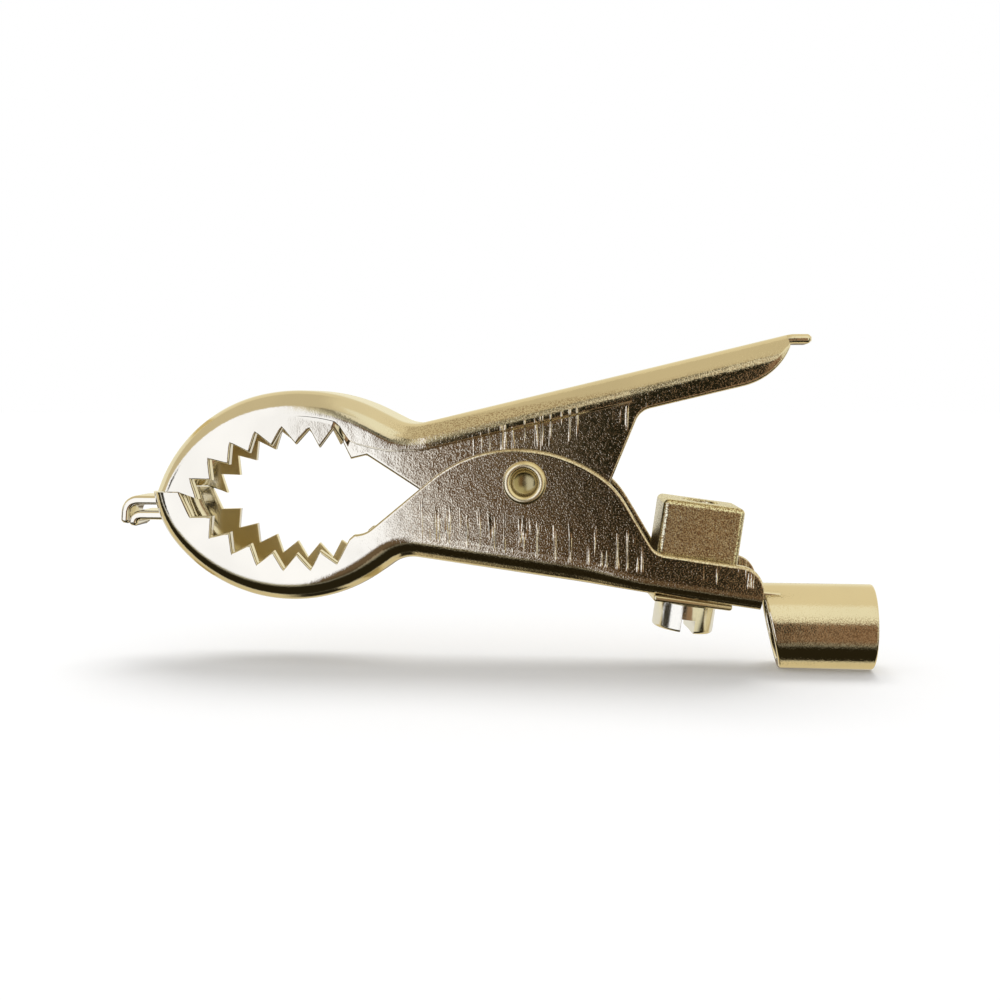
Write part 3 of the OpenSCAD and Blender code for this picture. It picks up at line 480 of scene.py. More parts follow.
def mesh_object(name, verts, faces):
    """A smooth object from points in millimetres."""
    mesh = bpy.data.meshes.new(name)
    mesh.from_pydata([tuple(MM * c for c in v) for v in verts], [], faces)
    mesh.update()
    bm = bmesh.new()
    bm.from_mesh(mesh)
    bmesh.ops.remove_doubles(bm, verts=bm.verts, dist=SAME_PLACE)
    bmesh.ops.recalc_face_normals(bm, faces=bm.faces)
    bm.to_mesh(mesh)
    bm.free()
    soften(mesh)
    return new_object(name, mesh)


def soften(mesh):
    """Shades a mesh smooth, apart from its sharp edges."""
    mesh.polygons.foreach_set("use_smooth", [True] * len(mesh.polygons))
    mesh.set_sharp_from_angle(angle=radians(SHARP))


def section(shape, sheet, outer_r, inner_r):
    """Half of a pressing's cross-section, as (depth, half width): down its outer face and up its inner one.

    shape is its half width, the half width at its edge, the radius of its bend, the depth of its step, its
    whole depth and the length of the step's slope. Where the depth is too small for all that, the bend, the
    step and the edges are cut short.
    """
    half, edge_half, r, step, depth, slope = shape
    least_wall, flat_share, edge_room, brim_gap, support = 0.1, 0.6, 1.5, 0.05, 0.25
    bends, slopes, eases = 14, 8, 5
    fit = min(1.0, depth / (step + slope + outer_r + least_wall))
    outer_r, inner_r = fit * outer_r, fit * inner_r
    faces, ends = [], []
    for inset in (0.0, sheet):
        face = [(inset, 0.0), (inset, (half - r) * flat_share)]
        low = r - (r - inset) * (1 - fit)
        room = max(0.0, min(1.0, (depth - edge_room * inner_r - inset) / (low - inset)))
        for k in range(bends + 1):
            a = acos(1 - fit * (1 - cos(pi / 2 * k / bends)))
            deep = r - (r - inset) * cos(a)
            face.append((inset + (deep - inset) * room, half - r + (r - inset) * sin(a)))
        wall = face[-1][1]
        end = wall - (half - edge_half)
        for k in range(slopes + 1):
            deep = max(face[-1][0], fit * (step + slope * k / slopes))
            face.append((deep, wall + (end - wall) * smooth(k / slopes)))
        foot, brim = face[-1][0], depth - outer_r - fit * brim_gap
        face.append((foot + max(0.0, min(support, (brim - foot) / 2)), end))
        face.append((max(foot, brim), end))
        faces.append(face)
        ends.append(end)
    turns = [pi / 2 * k / eases for k in range(eases + 1)]
    rim = [(depth - outer_r * (1 - sin(a)), ends[0] - outer_r * (1 - cos(a))) for a in turns]
    rim += [(depth - inner_r * (1 - cos(a)), ends[1] + inner_r * (1 - sin(a))) for a in turns]
    return faces[0] + rim + faces[1][::-1]


def tube(name, rings):
    """Closed mesh through rings of as many points each."""
    n = len(rings[0])
    verts = [p for ring in rings for p in ring]
    faces = [
        (i * n + k, (i + 1) * n + k, (i + 1) * n + (k + 1) % n, i * n + (k + 1) % n)
        for i in range(len(rings) - 1) for k in range(n)]
    faces += [tuple(range(n)), tuple(reversed(range(len(verts) - n, len(verts))))]
    return mesh_object(name, verts, faces)


def lofted(name, stations, c):
    """Sheet through stations of (point on the outer face, direction inward, shape)."""
    rings = []
    for p, way, shape in stations:
        half = section(shape, c.sheet, c.edge_r, c.burr_r)
        whole = half + [(s, -y) for s, y in half[-2:0:-1]]
        rings.append([(p.x + s * way.x, y, p.y + s * way.y) for s, y in whole])
    return tube(name, rings)


def strip(name, path, w, sheet, corner, sag=None):
    """Strip of sheet along a path, w wide, with eased edges and a rounded end. sag lowers points across it."""
    steps = 5
    places = path.points(sheet / 2, step=4.0)
    p, h = places[-1]
    stops = [(q, g, 0.0) for q, g in places[:-1]]
    for k in range(steps + 1):
        a = pi / 2 * k / steps
        stops.append((p - corner * (1 - sin(a)) * turn(h), h, corner * (1 - cos(a))))
    rings = []
    for i, (p, h, shrink) in enumerate(stops):
        ring = []
        for sy, st in ((1, 1), (-1, 1), (-1, -1), (1, -1)):
            for k in range(steps + 1):
                b = pi / 2 * (k / steps if sy == st else 1 - k / steps)
                y = sy * (w / 2 - shrink - corner * (1 - cos(b)))
                t = st * (sheet / 2 - shrink - corner * (1 - sin(b)))
                drop = sag(i / (len(stops) - 1), y) if sag else 0.0
                q = p + t * path.inward(h)
                ring.append((q.x, y, q.y - drop))
        rings.append(ring)
    return tube(name, rings)


def nose_tab(name, o, side, hub, jaw_r, level, stop, hook):
    """Tab that leaves a jaw of radius jaw_r about hub, runs level to a place along the clip and ends in a hook."""
    corner_r = o.u.tab_corner_r
    leave = degrees(asin((side * (level - hub.y) + corner_r) / jaw_r))
    a = radians(leave + TAB_ROOT)
    root = hub + jaw_r * Vector((-cos(a), side * sin(a)))
    heading = 180 + side * (90 - TAB_ROOT - leave)
    bends = [(jaw_r, TAB_ROOT), (corner_r, leave - 90)]
    run = Path(root, heading, side, bends).knots[-1][0].x - stop
    path = Path(root, heading, side, bends + [(0, run)] + hook)
    return strip(name, path, o.u.tab_w, o.c.sheet, NOSE_TAB_EASE)


def turned(name, profile, sides=96, swell=None):
    """Piece turned about Z from a profile of (radius, height). swell gives a change of radius."""
    rings = []
    for r, z in profile:
        ring = []
        for k in range(sides):
            a = 2 * pi * k / sides
            q = r + (swell(r, z, a) if swell else 0.0)
            ring.append((q * cos(a), q * sin(a), z))
        rings.append(ring)
    return tube(name, rings)


def round_corner(r, z, radius, start, sweep, steps=8):
    """Points of an arc in a turned profile, with its centre at (r, z)."""
    turns = [radians(start + sweep * k / steps) for k in range(steps + 1)]
    return [(r + radius * cos(a), z + radius * sin(a)) for a in turns]


def discard(obj):
    """Takes an object and its mesh away."""
    mesh = obj.data
    bpy.data.objects.remove(obj)
    bpy.data.meshes.remove(mesh)


def cut(obj, *cutters):
    """Cuts closed meshes out of obj and takes them away."""
    for tool in cutters:
        mod = obj.modifiers.new("cut", "BOOLEAN")
        mod.object = tool
        mod.operation = "DIFFERENCE"
        mod.solver = "EXACT"
    settle(obj)
    for tool in cutters:
        discard(tool)


def settle(obj):
    """Applies obj's modifiers."""
    bpy.context.view_layer.update()
    old = obj.data
    mesh = bpy.data.meshes.new_from_object(obj.evaluated_get(bpy.context.evaluated_depsgraph_get()))
    obj.modifiers.clear()
    obj.data = mesh
    mesh.name = old.name
    bpy.data.meshes.remove(old)
    if len(mesh.polygons) == 0:
        raise RuntimeError(f"{obj.name} came out empty")
    soften(mesh)


def join(obj, *others):
    """Adds the meshes of others to obj."""
    bm = bmesh.new()
    bm.from_mesh(obj.data)
    for other in others:
        bm.from_mesh(other.data)
        discard(other)
    bm.to_mesh(obj.data)
    bm.free()


def box(name, low, high):
    """Plain box between two corners."""
    verts = [(x, y, z) for x in (low[0], high[0]) for y in (low[1], high[1]) for z in (low[2], high[2])]
    faces = [(0, 1, 3, 2), (4, 6, 7, 5), (0, 4, 5, 1), (2, 3, 7, 6), (0, 2, 6, 4), (1, 5, 7, 3)]
    return mesh_object(name, verts, faces)


def rod(r, length, place, matrix):
    """Round cutter, stood along Z, turned by matrix and moved to a place."""
    obj = turned("rod", [(r, -length / 2), (r, length / 2)], sides=72)
    obj.data.transform(Matrix.Translation([MM * c for c in place]) @ matrix)
    return obj


def ease(obj, width, sharp=40.0, segments=3):
    """Eases obj's sharp edges."""
    bevel = obj.modifiers.new("ease", "BEVEL")
    bevel.width = width * MM
    bevel.segments = segments
    bevel.limit_method = "ANGLE"
    bevel.angle_limit = radians(sharp)
    settle(obj)
    flatten(obj)


def flatten(obj):
    """Keeps obj's flat faces flat beside its rounds."""
    weighted = obj.modifiers.new("flat", "WEIGHTED_NORMAL")
    weighted.keep_sharp = True
    weighted.weight = 100


def weld(obj, near=0.0002):
    """Merges points of obj that coincide, so that fewer faces are without area."""
    bm = bmesh.new()
    bm.from_mesh(obj.data)
    bmesh.ops.remove_doubles(bm, verts=bm.verts, dist=near * MM)
    bmesh.ops.dissolve_degenerate(bm, edges=bm.edges, dist=near * MM)
    bm.to_mesh(obj.data)
    bm.free()


def finish_piece(obj, body, node, finish):
    """Puts a finished piece in the place of its CAD node."""
    weld(obj)
    obj.data.materials.clear()
    obj.data.materials.append(bpy.data.materials[finish])
    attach(obj, body)
    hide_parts(node)


ACROSS = Matrix.Rotation(pi / 2, 4, "X")

# The studio's colours
WALLS = (0.90, 0.835, 0.60, 1)
CEILING = (0.79, 0.68, 0.42, 1)
DAYLIGHT = (0.68, 0.68, 0.68, 1)
WHITE = (1, 1, 1, 1)
# The studio's cards and gaps, a later one over an earlier: left and right edge with the softness of each, lowest
# and highest rise with the softness of each, 1 where the side edges slant, and the colour
CARDS = {
    "dim ceiling": (-95, 5, -2, 5, 36, 4, 118, 4, 0, (0.63, 0.53, 0.32, 1)),
    "dark gap ahead": (-8.5, 7, 7, 1.5, -40, 4, 40, 4, 0, (0.018, 0.016, 0.008, 1)),
    "brown edge": (-12, 2, -5, 3, -30, 4, 10, 4, 1, (0.13, 0.072, 0.028, 1)),
    "white card": (-95, 1, -10.8, 2.5, -38, 4, 40, 4, 1, (1.12, 1.14, 1.22, 1)),
    "brown below the gap": (-9.5, 2, 6, 1.5, -44, 4, -12, 5, 0, (0.15, 0.10, 0.055, 1)),
    "cream above the gap": (-4, 1.5, 9, 3, 18, 5, 40, 4, 0, (0.84, 0.76, 0.54, 1)),
    "dark gap far left": (-84, 3, -54, 3, -34, 4, 26, 4, 0, (0.04, 0.034, 0.022, 1)),
    "brown right": (6.5, 1.5, 27, 2, -40, 9, 20, 10, 0, (0.30, 0.185, 0.10, 1)),
    "cream right": (30, 3, 66, 3, -36, 4, 30, 4, 0, (0.80, 0.74, 0.52, 1)),
    "dark gap far right": (69, 2, 95, 2, -36, 4, 36, 4, 0, (0.03, 0.03, 0.02, 1)),
    "cream upper right": (3, 2, 46, 2, 20, 10, 66, 6, 0, (0.90, 0.84, 0.60, 1)),
    "dark ground ahead": (-95, 1, 95, 1, -102, 9, -40, 13, 0, (0.020, 0.015, 0.006, 1)),
    "warm ground behind": (-95, 1, 95, 1, -195, 4, -102, 9, 0, (0.68, 0.56, 0.31, 1)),
    "dark card below": (-14, 5, 4, 2, -128, 7, -95, 7, 0, (0.020, 0.016, 0.008, 1)),
    "plain lower back": (-95, 1, 95, 1, -195, 4, -150, 8, 0, (0.80, 0.77, 0.68, 1)),
    "soft gap behind": (-7, 5, 9, 4, -195, 4, -150, 8, 0, (0.20, 0.16, 0.11, 1)),
}


# Shaders

# Sizes of the plate's patterns, as noise scales in a millimetre
PEEL, SWELLS, CLOUDS, SPECKS, COMBS, DENTS, WEAR = 10.0, 1.6, 0.25, 12.0, 3.4, 2.2, 12.0
# Where the bright jaws go over into the grained part, along the clip
GRAIN_STARTS = (-31.5, -27.5)
# Tint of the grained part and colour of its specks
GRAIN_TINT = (1.0, 0.98, 0.93, 1)
SPECK_COLOUR = (0.32, 0.20, 0.10, 1)
# Half width within which a jaw's face is an inner one, front of the jaws, mouth's height and reach from it
INNER_FACE = (2.68, 2.85)
JAW_FRONT = -43.3
MOUTH_UP = 8.08
MOUTH_REACH = (4.9, 5.2)
# Place across the clip up to which a surface is on the near side
NEAR_SIDE = (-2.6, -2.2)


class Sock:
    """One output of a shader tree, so that sums on it can be written out."""

    def __init__(self, tree, socket):
        self.tree, self.socket = tree, socket

    def maths(self, operation, *values):
        return self.tree.add("ShaderNodeMath", {"operation": operation}, dict(enumerate(values)))

    def __add__(self, other):
        return self.maths("ADD", self, other)

    def __sub__(self, other):
        return self.maths("SUBTRACT", self, other)

    def __rsub__(self, other):
        return self.maths("SUBTRACT", other, self)

    def __mul__(self, other):
        return self.maths("MULTIPLY", self, other)

    def __abs__(self):
        return self.maths("ABSOLUTE", self)

    __radd__ = __add__
    __rmul__ = __mul__

    def clamped(self, low, high):
        return self.maths("MAXIMUM", self.maths("MINIMUM", self, high), low)

    def ramp(self, low, high):
        """0 below low, 1 above high, smooth between."""
        return self.tree.add(
            "ShaderNodeMapRange", {"interpolation_type": "SMOOTHSTEP"},
            {"Value": self, "From Min": low, "From Max": high})

    def between(self, low, low_soft, high, high_soft):
        """1 from low to high and 0 outside, with soft edges."""
        rising = self.ramp(low - low_soft, low + low_soft)
        return rising * (1 - self.ramp(high - high_soft, high + high_soft))


class Tree:
    """A material's or the world's nodes."""

    def __init__(self, owner):
        owner.use_nodes = True
        self.nodes, self.links = owner.node_tree.nodes, owner.node_tree.links
        self.nodes.clear()

    def add(self, kind, settings=None, sockets=None, out=0):
        """One node: its settings first, then the values or links of its sockets.

        Returns the output that out names, or a list of outputs where out is a tuple of names.
        """
        node = self.nodes.new(kind)
        for key, value in (settings or {}).items():
            setattr(node, key, value)
        for key, value in (sockets or {}).items():
            socket = node.inputs[key]
            if isinstance(value, Sock):
                self.links.new(value.socket, socket)
            else:
                socket.default_value = value
        if isinstance(out, tuple):
            return [Sock(self, node.outputs[key]) for key in out]
        return Sock(self, node.outputs[out]) if len(node.outputs) else None

    def mix(self, factor, a, b, blend="MIX"):
        """A mix of two colours."""
        return self.add(
            "ShaderNodeMix", {"data_type": "RGBA", "blend_type": blend, "clamp_factor": True},
            {0: factor, 6: a, 7: b}, out=2)

    def noise(self, where, scale, detail=1.0, roughness=0.5):
        return self.add(
            "ShaderNodeTexNoise", None,
            {"Vector": where, "Scale": scale, "Detail": detail, "Roughness": roughness})

    def split(self, where):
        """The three parts of a vector."""
        return self.add("ShaderNodeSeparateXYZ", None, {0: where}, out=("X", "Y", "Z"))

    def scaled(self, where, by):
        return self.add("ShaderNodeVectorMath", {"operation": "MULTIPLY"}, {0: where, 1: by})

    def millimetres(self):
        """A point's place on its piece, in millimetres."""
        return self.scaled(self.add("ShaderNodeTexCoord", out="Object"), (1 / MM, 1 / MM, 1 / MM))

    def metal(self, base, roughness, height, distance, strength=1.0):
        """Bare metal with bumps up to a distance in metres."""
        bump = self.add("ShaderNodeBump", None, {"Strength": strength, "Distance": distance, "Height": height})
        shader = self.add("ShaderNodeBsdfPrincipled", None, {
            "Base Color": base, "Metallic": 1.0, "Roughness": roughness, "Normal": bump})
        self.add("ShaderNodeOutputMaterial", None, {"Surface": shader})


def rgba(colour, gain=1.0):
    return tuple(min(1.0, gain * c) for c in colour) + (1.0,)


def draw_marks(tree, where, marks):
    """Height of upright marks, combed into the plate along bands.

    A band is (way, slope, z, low, high, x_from, x_to): its marks stand above (way 1) or below (way -1) the line
    z + slope * x, from low to high away from it, between two places along the clip.
    """
    x, _, up = tree.split(where)
    along, across = (2.0, 0.0, 0.0), (1.0, 0.0, 0.06)
    start, fringe, end_soft, depth = (-0.1, 0.3), (-0.6, 1.2), 0.5, 0.7
    height = 0.0
    for way, slope, z, low, high, x_from, x_to in marks:
        over = (up - (x * slope + z)) * way
        ragged = tree.noise(tree.scaled(where, along), 1.0) * (high - low)
        band = over.ramp(low + start[0], low + start[1])
        band = band * (1 - (over - ragged).ramp(low + fringe[0], low + fringe[1]))
        band = band * x.between(x_from, end_soft, x_to, end_soft)
        combed = tree.noise(tree.scaled(where, across), COMBS)
        lines = combed.ramp(0.56, 0.65) * (1 - combed.ramp(0.65, 0.74))
        height = height + lines * band * depth
    return height


def plated(name, colour, grain=1.0, marks=(), rough=0.05, inside=None, specks=None, hollow=None):
    """Nickel plate over pressed sheet: orange-peel grain, slight tarnish and draw marks.

    inside is the painted shade on the jaws' inner faces, a darker, yellower colour, and the place along the clip
    to which it reaches. specks is the depth of a fine dark speckle and the half width from which it starts. hollow
    is the painted shade in the rolled end of the rivet, a darker colour, with the centre and reach of that hollow.
    """
    tree = Tree(bpy.data.materials.new(name))
    where = tree.millimetres()
    x, y, up = tree.split(where)
    grained = x.ramp(*GRAIN_STARTS)
    pits = tree.noise(where, PEEL, roughness=0.6).ramp(0.50, 0.72) * grained
    height = tree.noise(where, PEEL) * 0.05 + tree.noise(where, SWELLS) * 0.12 + pits * 0.036
    if marks:
        height = height + draw_marks(tree, where, marks)
    cloud = tree.noise(where, CLOUDS, 2.0)
    worn_and_shaded = tree.mix(cloud.ramp(0.35, 0.7) * 0.6, rgba(colour), rgba(colour, 0.9))
    worn_and_shaded = tree.mix(grained, worn_and_shaded, GRAIN_TINT, "MULTIPLY")
    roughness = rough + 0.05 * cloud.ramp(0.4, 0.7)
    if specks:
        deep, wall_from = specks
        dots = tree.noise(where, SPECKS).ramp(0.36, 0.60)
        walls = abs(y).ramp(wall_from, wall_from + 0.2) * grained
        worn_and_shaded = tree.mix((1 - dots) * walls * deep, worn_and_shaded, SPECK_COLOUR)
    # Painted shade on the jaws' inner faces near the mouth, where the faces are also made rougher
    if inside:
        shade, x_to = inside
        inner_shade_and_dulling = (1 - abs(y).ramp(*INNER_FACE)) * x.between(JAW_FRONT, 0.3, x_to, 0.3)
        inner_shade_and_dulling = inner_shade_and_dulling * (1 - abs(up - MOUTH_UP).ramp(*MOUTH_REACH))
        worn_and_shaded = tree.mix(inner_shade_and_dulling, worn_and_shaded, rgba(shade))
        roughness = roughness + inner_shade_and_dulling * 0.4
    # Painted shade in the hollow of the rivet's rolled end, on the near side only
    if hollow:
        shade, x_mid, z_mid, reach = hollow
        far = (x - x_mid) * (x - x_mid) + (up - z_mid) * (up - z_mid)
        inner = (1 - far.ramp((reach * 0.75) ** 2, reach ** 2)) * (1 - y.ramp(*NEAR_SIDE))
        worn_and_shaded = tree.mix(inner, worn_and_shaded, rgba(shade))
    tree.metal(worn_and_shaded, roughness, height, 0.05 * MM * grain)


def machined(name, colour, rough=0.1):
    """Turned nickel or plain wire, with small dents and fine wear."""
    tree = Tree(bpy.data.materials.new(name))
    where = tree.millimetres()
    fine = tree.noise(where, WEAR, 3.0, 0.6)
    height = tree.noise(where, DENTS, 2.0) * 0.6 + fine * 0.4
    base = tree.mix(fine.ramp(0.4, 0.75) * 0.35, rgba(colour), rgba(colour, 0.86))
    tree.metal(base, rough + 0.1 * fine.ramp(0.35, 0.7), height, 0.01 * MM, 0.5)


# Operators


class CLIP_OT_upper_arm(bpy.types.Operator):
    """Upper pressing with its toothed jaw, ears, handle, end tab and hooked nose tab"""

    bl_idname = "clip.upper_arm"
    bl_label = "Upper arm"

    def shape(self, o, foot, depth):
        """Cross-section at the foot of one edge point."""
        c, u = o.c, o.u
        _, _, part, t = foot
        neck_dip, least_dip, crown_dip = 0.7, 0.2, 1.5
        slim = 0.0
        if part == HANDLE:
            slim = min(1.0, max(0.0, (u.handle_len - t + u.neck_at) / (u.taper_end + u.neck_at)))
        stepped = 1.0 if part < CROWN else 0.0
        if part == CROWN:
            rest = u.step_rest * max(0.0, 1 - (t - u.step_sweep) / u.step_fade)
            stepped = rest + (1 - rest) * (1 - smooth((t - u.step_sweep + 1) / 2))
        dip = {
            NECK: neck_dip * t / u.neck_turn,
            FLAT: neck_dip + (1 - neck_dip) * t / u.flat,
            CROWN: max(least_dip, min(1.0, crown_dip - t / u.step_sweep)),
        }.get(part, 0.0)
        r = c.bend_r + slim * (c.handle_bend_r - c.bend_r)
        half = o.half + slim * (o.inner_half - o.half)
        step = max(r + BEND_REST, u.step_depth + dip * u.step_dip)
        slope = PLAIN_SLOPE + stepped * u.step_slope
        return half, half + stepped * (o.inner_half - half), r, step, depth, slope

    def execute(self, context):
        o = Outline()
        c, u = o.c, o.u
        stations = []
        for q in o.upper_edge():
            foot = o.upper.foot(q)
            shape = self.shape(o, foot, (q - foot[0]).length)
            stations.append((foot[0], o.upper.inward(foot[1]), shape))
        nose = Vector((o.upper_nose_x, o.parting + c.parting_gap / 2))
        stations.append((nose, Vector((1, 0)), o.plain(c.bend_r, o.teeth_x - o.upper_nose_x)))
        arm = lofted("upper_arm", stations, c)
        cut(arm, rod(c.rivet_r + UPPER_PLAY, 2 * c.jaw_w, (o.pivot.x, 0, o.pivot.y), ACROSS))
        hook = nose_tab(
            "hook", o, 1, o.brow_hub, u.brow_r, c.pivot_up - u.tab_drop,
            o.upper_nose_x - u.hook_reach + u.hook_r, [(u.hook_r, u.hook_turn), (0, u.hook_tail)])
        lap, sink = 2 * c.sheet, 0.004
        start = o.upper_at(u.handle_len - lap, u.handle_off - sink)
        ways = [(0, lap), (u.end_tab_r, u.handle_tilt), (0, u.end_tab_len)]
        path = Path(start, u.handle_tilt, -1, ways)
        join(arm, hook, strip("end_tab", path, u.tab_w, c.sheet - 2 * sink, END_TAB_EASE))
        flatten(arm)
        finish_piece(arm, "upper_arm", "upper_jaw", "upper_nickel")
        return {"FINISHED"}


class CLIP_OT_lower_arm(bpy.types.Operator):
    """Lower pressing with its toothed jaw, ears, channel, nose tab, tongue and rolled socket"""

    bl_idname = "clip.lower_arm"
    bl_label = "Lower arm"

    def socket(self, o):
        """Rolled socket with an open seam below and a leaning inner end."""
        w, sheet = o.w, o.c.sheet
        inner = w.socket_d / 2
        outer = inner + sheet
        lean = tan(radians(w.socket_lean))
        lip, steps, sides = 0.14, 6, 128
        gap = degrees(w.seam_w / outer) / 2
        turns = [radians(90 * k / steps) for k in range(steps + 1)]
        wall = [(outer - lip + lip * cos(a), False, lip * (1 - sin(a))) for a in turns]
        wall += [(inner + lip - lip * sin(a), False, lip * (1 - cos(a))) for a in turns]
        wall += [(inner + lip - lip * cos(a), True, lip * (1 - sin(a))) for a in turns]
        wall += [(outer - lip + lip * sin(a), True, lip * (1 - cos(a))) for a in turns]
        rings = []
        for k in range(sides + 1):
            a = radians(-90 + gap + (360 - 2 * gap) * k / sides)
            ring = []
            for r, rear, back in wall:
                z = r * sin(a)
                x = back - w.socket_len + (outer - z) * lean if rear else -back
                ring.append((x, r * cos(a), z))
            rings.append(ring)
        return tube("socket", rings)

    def tongue(self, o, at):
        """Tongue that rises out of the channel and lies down along the socket."""
        c, w = o.c, o.w
        inner = w.socket_d / 2
        outer = inner + c.sheet
        tilt, slope = radians(w.channel_tilt), radians(w.tongue_slope)
        lift = w.tongue_r * (cos(tilt) + 1 - 2 * cos(slope))
        rise = (inner - at.y - lift) / sin(slope)
        start = at - c.sheet * Vector((cos(tilt), -sin(tilt)))
        ways = [
            (0, c.sheet), (w.tongue_r, w.channel_tilt + w.tongue_slope),
            (0, rise), (w.tongue_r, -w.tongue_slope)]
        reach = -w.socket_len + 2 * c.sheet - Path(start, -w.channel_tilt, 1, ways).knots[-1][0].x
        ways += [(0, reach * share) for share in (0.35, 0.65)]
        sag_part, hug, sink = 1.6, 1.02, 0.05

        def sag(t, y):
            round_off = outer - sqrt(outer ** 2 - y ** 2)
            return smooth(1 - sag_part * (1 - t)) * (round_off * hug + sink)

        path = Path(start, -w.channel_tilt, 1, ways)
        return strip("tongue", path, w.tongue_w, c.sheet, TONGUE_EASE, sag)

    def execute(self, context):
        o = Outline()
        c, u, w, g = o.c, o.u, o.w, held("clip_clamp")
        stations = []
        for q in o.lower_edge():
            p, h, part, t = o.lower.foot(q)
            wide = smooth((t - w.bend_from) / (w.bend_to - w.bend_from)) if part == HANDLE else 1.0
            r = w.channel_bend_r + wide * (c.bend_r - w.channel_bend_r)
            stations.append((p, o.lower.inward(h), o.plain(r, (q - p).length)))
        nose = Vector((o.lower_nose_x, o.parting - c.parting_gap / 2))
        stations.append((nose, Vector((1, 0)), o.plain(c.bend_r, o.teeth_x - o.lower_nose_x)))
        arm = lofted("lower_arm", stations, c)
        tab_top = c.pivot_up - u.tab_drop - c.sheet - w.tab_gap
        notch_half, notch_h = u.tab_w / 2 + w.tab_room, 20
        notch = box(
            "notch", (o.lower_nose_x - c.sheet, -notch_half, tab_top - 2 * c.sheet),
            (o.lower_nose_x + c.nose_land - c.sheet, notch_half, tab_top + notch_h))
        tilt = Matrix.Rotation(radians(w.channel_tilt), 4, "Y")
        slot_at = o.lower_at(w.tongue_at, w.channel_off)
        slot_half = w.tongue_w / 2 + w.tab_room / 2
        slot = box("slot", (0, -slot_half, -c.sheet), (w.channel_len, slot_half, 2 * c.sheet))
        slot.data.transform(Matrix.Translation((MM * slot_at.x, 0, MM * slot_at.y)) @ tilt)
        screw_at = o.lower_at(g.screw_at, w.channel_off)
        hole_h = 2.5
        cut(
            arm,
            rod(c.rivet_r + LOWER_PLAY, 2 * c.jaw_w, (o.pivot.x, 0, o.pivot.y), ACROSS),
            notch, slot,
            rod(g.screw_r + SHEET_PLAY, hole_h, (screw_at.x, 0, screw_at.y), tilt))
        tab = nose_tab(
            "tab", o, -1, o.chin_hub, w.chin_r, tab_top - c.sheet,
            o.lower_nose_x - w.tab_reach + w.tab_hook_r + c.sheet,
            [(w.tab_hook_r, -u.hook_turn), (0, w.tab_hook_tail)])
        join(arm, tab, self.tongue(o, slot_at), self.socket(o))
        flatten(arm)
        finish_piece(arm, "lower_arm", "lower_jaw", "lower_nickel")
        return {"FINISHED"}


class CLIP_OT_rivet(bpy.types.Operator):
    """Pivot rivet with its rolled ring and set head"""

    bl_idname = "clip.rivet"
    bl_label = "Rivet"

    def execute(self, context):
        o = Outline()
        g, c = held("clip_clamp"), o.c
        top = o.half
        roll = (g.ring_r - g.ring_hole_r) / 2
        mid = (g.ring_r + g.ring_hole_r) / 2
        rim = top + g.ring_h - roll
        dome_from, dome_turn, dome_steps = 8, 76, 10
        bowl_step, bowl_steps = 6, 14
        head_cut, head_foot, ring_cut, ring_foot = 0.03, 0.05, 0.06, 0.04
        profile = []
        for k in range(dome_steps + 1):
            a = radians(dome_from + dome_turn * k / dome_steps)
            profile.append((g.rivet_head_r * sin(a), -top - g.rivet_head_h * cos(a)))
        profile += [
            (g.rivet_head_r, -top - head_foot), (g.rivet_head_r - head_cut, -top),
            (c.rivet_r, -top), (c.rivet_r, top),
            (g.ring_r - ring_cut, top), (g.ring_r, top + ring_foot)]
        profile += round_corner(mid, rim, roll, 0, 180, 16)
        for k in range(1, bowl_steps + 1):
            a = radians(bowl_step * k)
            profile.append((g.ring_hole_r * cos(a), rim - g.bowl_depth * sin(a)))
        rivet = turned("rivet", profile)
        rivet.data.transform(Matrix.Translation((MM * o.pivot.x, 0, MM * o.pivot.y)) @ ACROSS)
        ease(rivet, 0.03)
        finish_piece(rivet, "lower_arm", "pivot_rivet", "rolled_nickel")
        return {"FINISHED"}


class CLIP_OT_spring(bpy.types.Operator):
    """Torsion spring round the rivet, with one leg under the handle and one on the channel's floor"""

    bl_idname = "clip.spring"
    bl_label = "Spring"

    def execute(self, context):
        o = Outline()
        g, c = held("clip_clamp"), o.c
        coil = c.rivet_r + g.coil_gap + g.wire_d / 2
        rake = radians(g.leg_rake)
        legs = [
            (off - c.sheet - g.wire_d / 2 - g.leg_gap - coil * cos(rake)) / sin(rake)
            for off in (o.w.channel_off, o.u.handle_off)]
        first = 270 - o.w.channel_tilt - g.leg_rake
        last = 90 + o.u.handle_tilt + g.leg_rake - 360 * g.coil_turns
        rise = (g.wire_d + g.turn_gap) * (first - last) / 360
        coil_step, leg_parts, sides, turn_half = 7.5, 4, 16, 1.2
        steps = ceil((first - last) / coil_step)
        route = []
        for k in range(steps + 1):
            a = radians(first + (last - first) * k / steps)
            route.append((coil * cos(a), coil * sin(a), rise * (k / steps - 0.5), a - pi / 2))
        ends = []
        for (x, z, y, h), leg in ((route[0], -legs[0]), (route[-1], legs[1])):
            ways = [leg * k / leg_parts for k in range(leg_parts, 0, -1)]
            ends.append([(x + way * cos(h), z + way * sin(h), y, h) for way in ways])
        route = ends[0] + route + ends[1][::-1]
        rings = []
        for x, z, y, h in route:
            ring = []
            for k in range(sides):
                a = 2 * pi * k / sides
                off, aside = g.wire_d / 2 * cos(a), g.wire_d / 2 * sin(a)
                ring.append((o.pivot.x + x - off * sin(h), -(y + aside), o.pivot.y + z + off * cos(h)))
            rings.append(ring)
        spring = tube("spring", rings)
        spring.data.materials.append(bpy.data.materials["spring_wire"])
        ease(spring, 0.06)
        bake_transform(spring)
        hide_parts("torsion_spring")
        return {"FINISHED"}


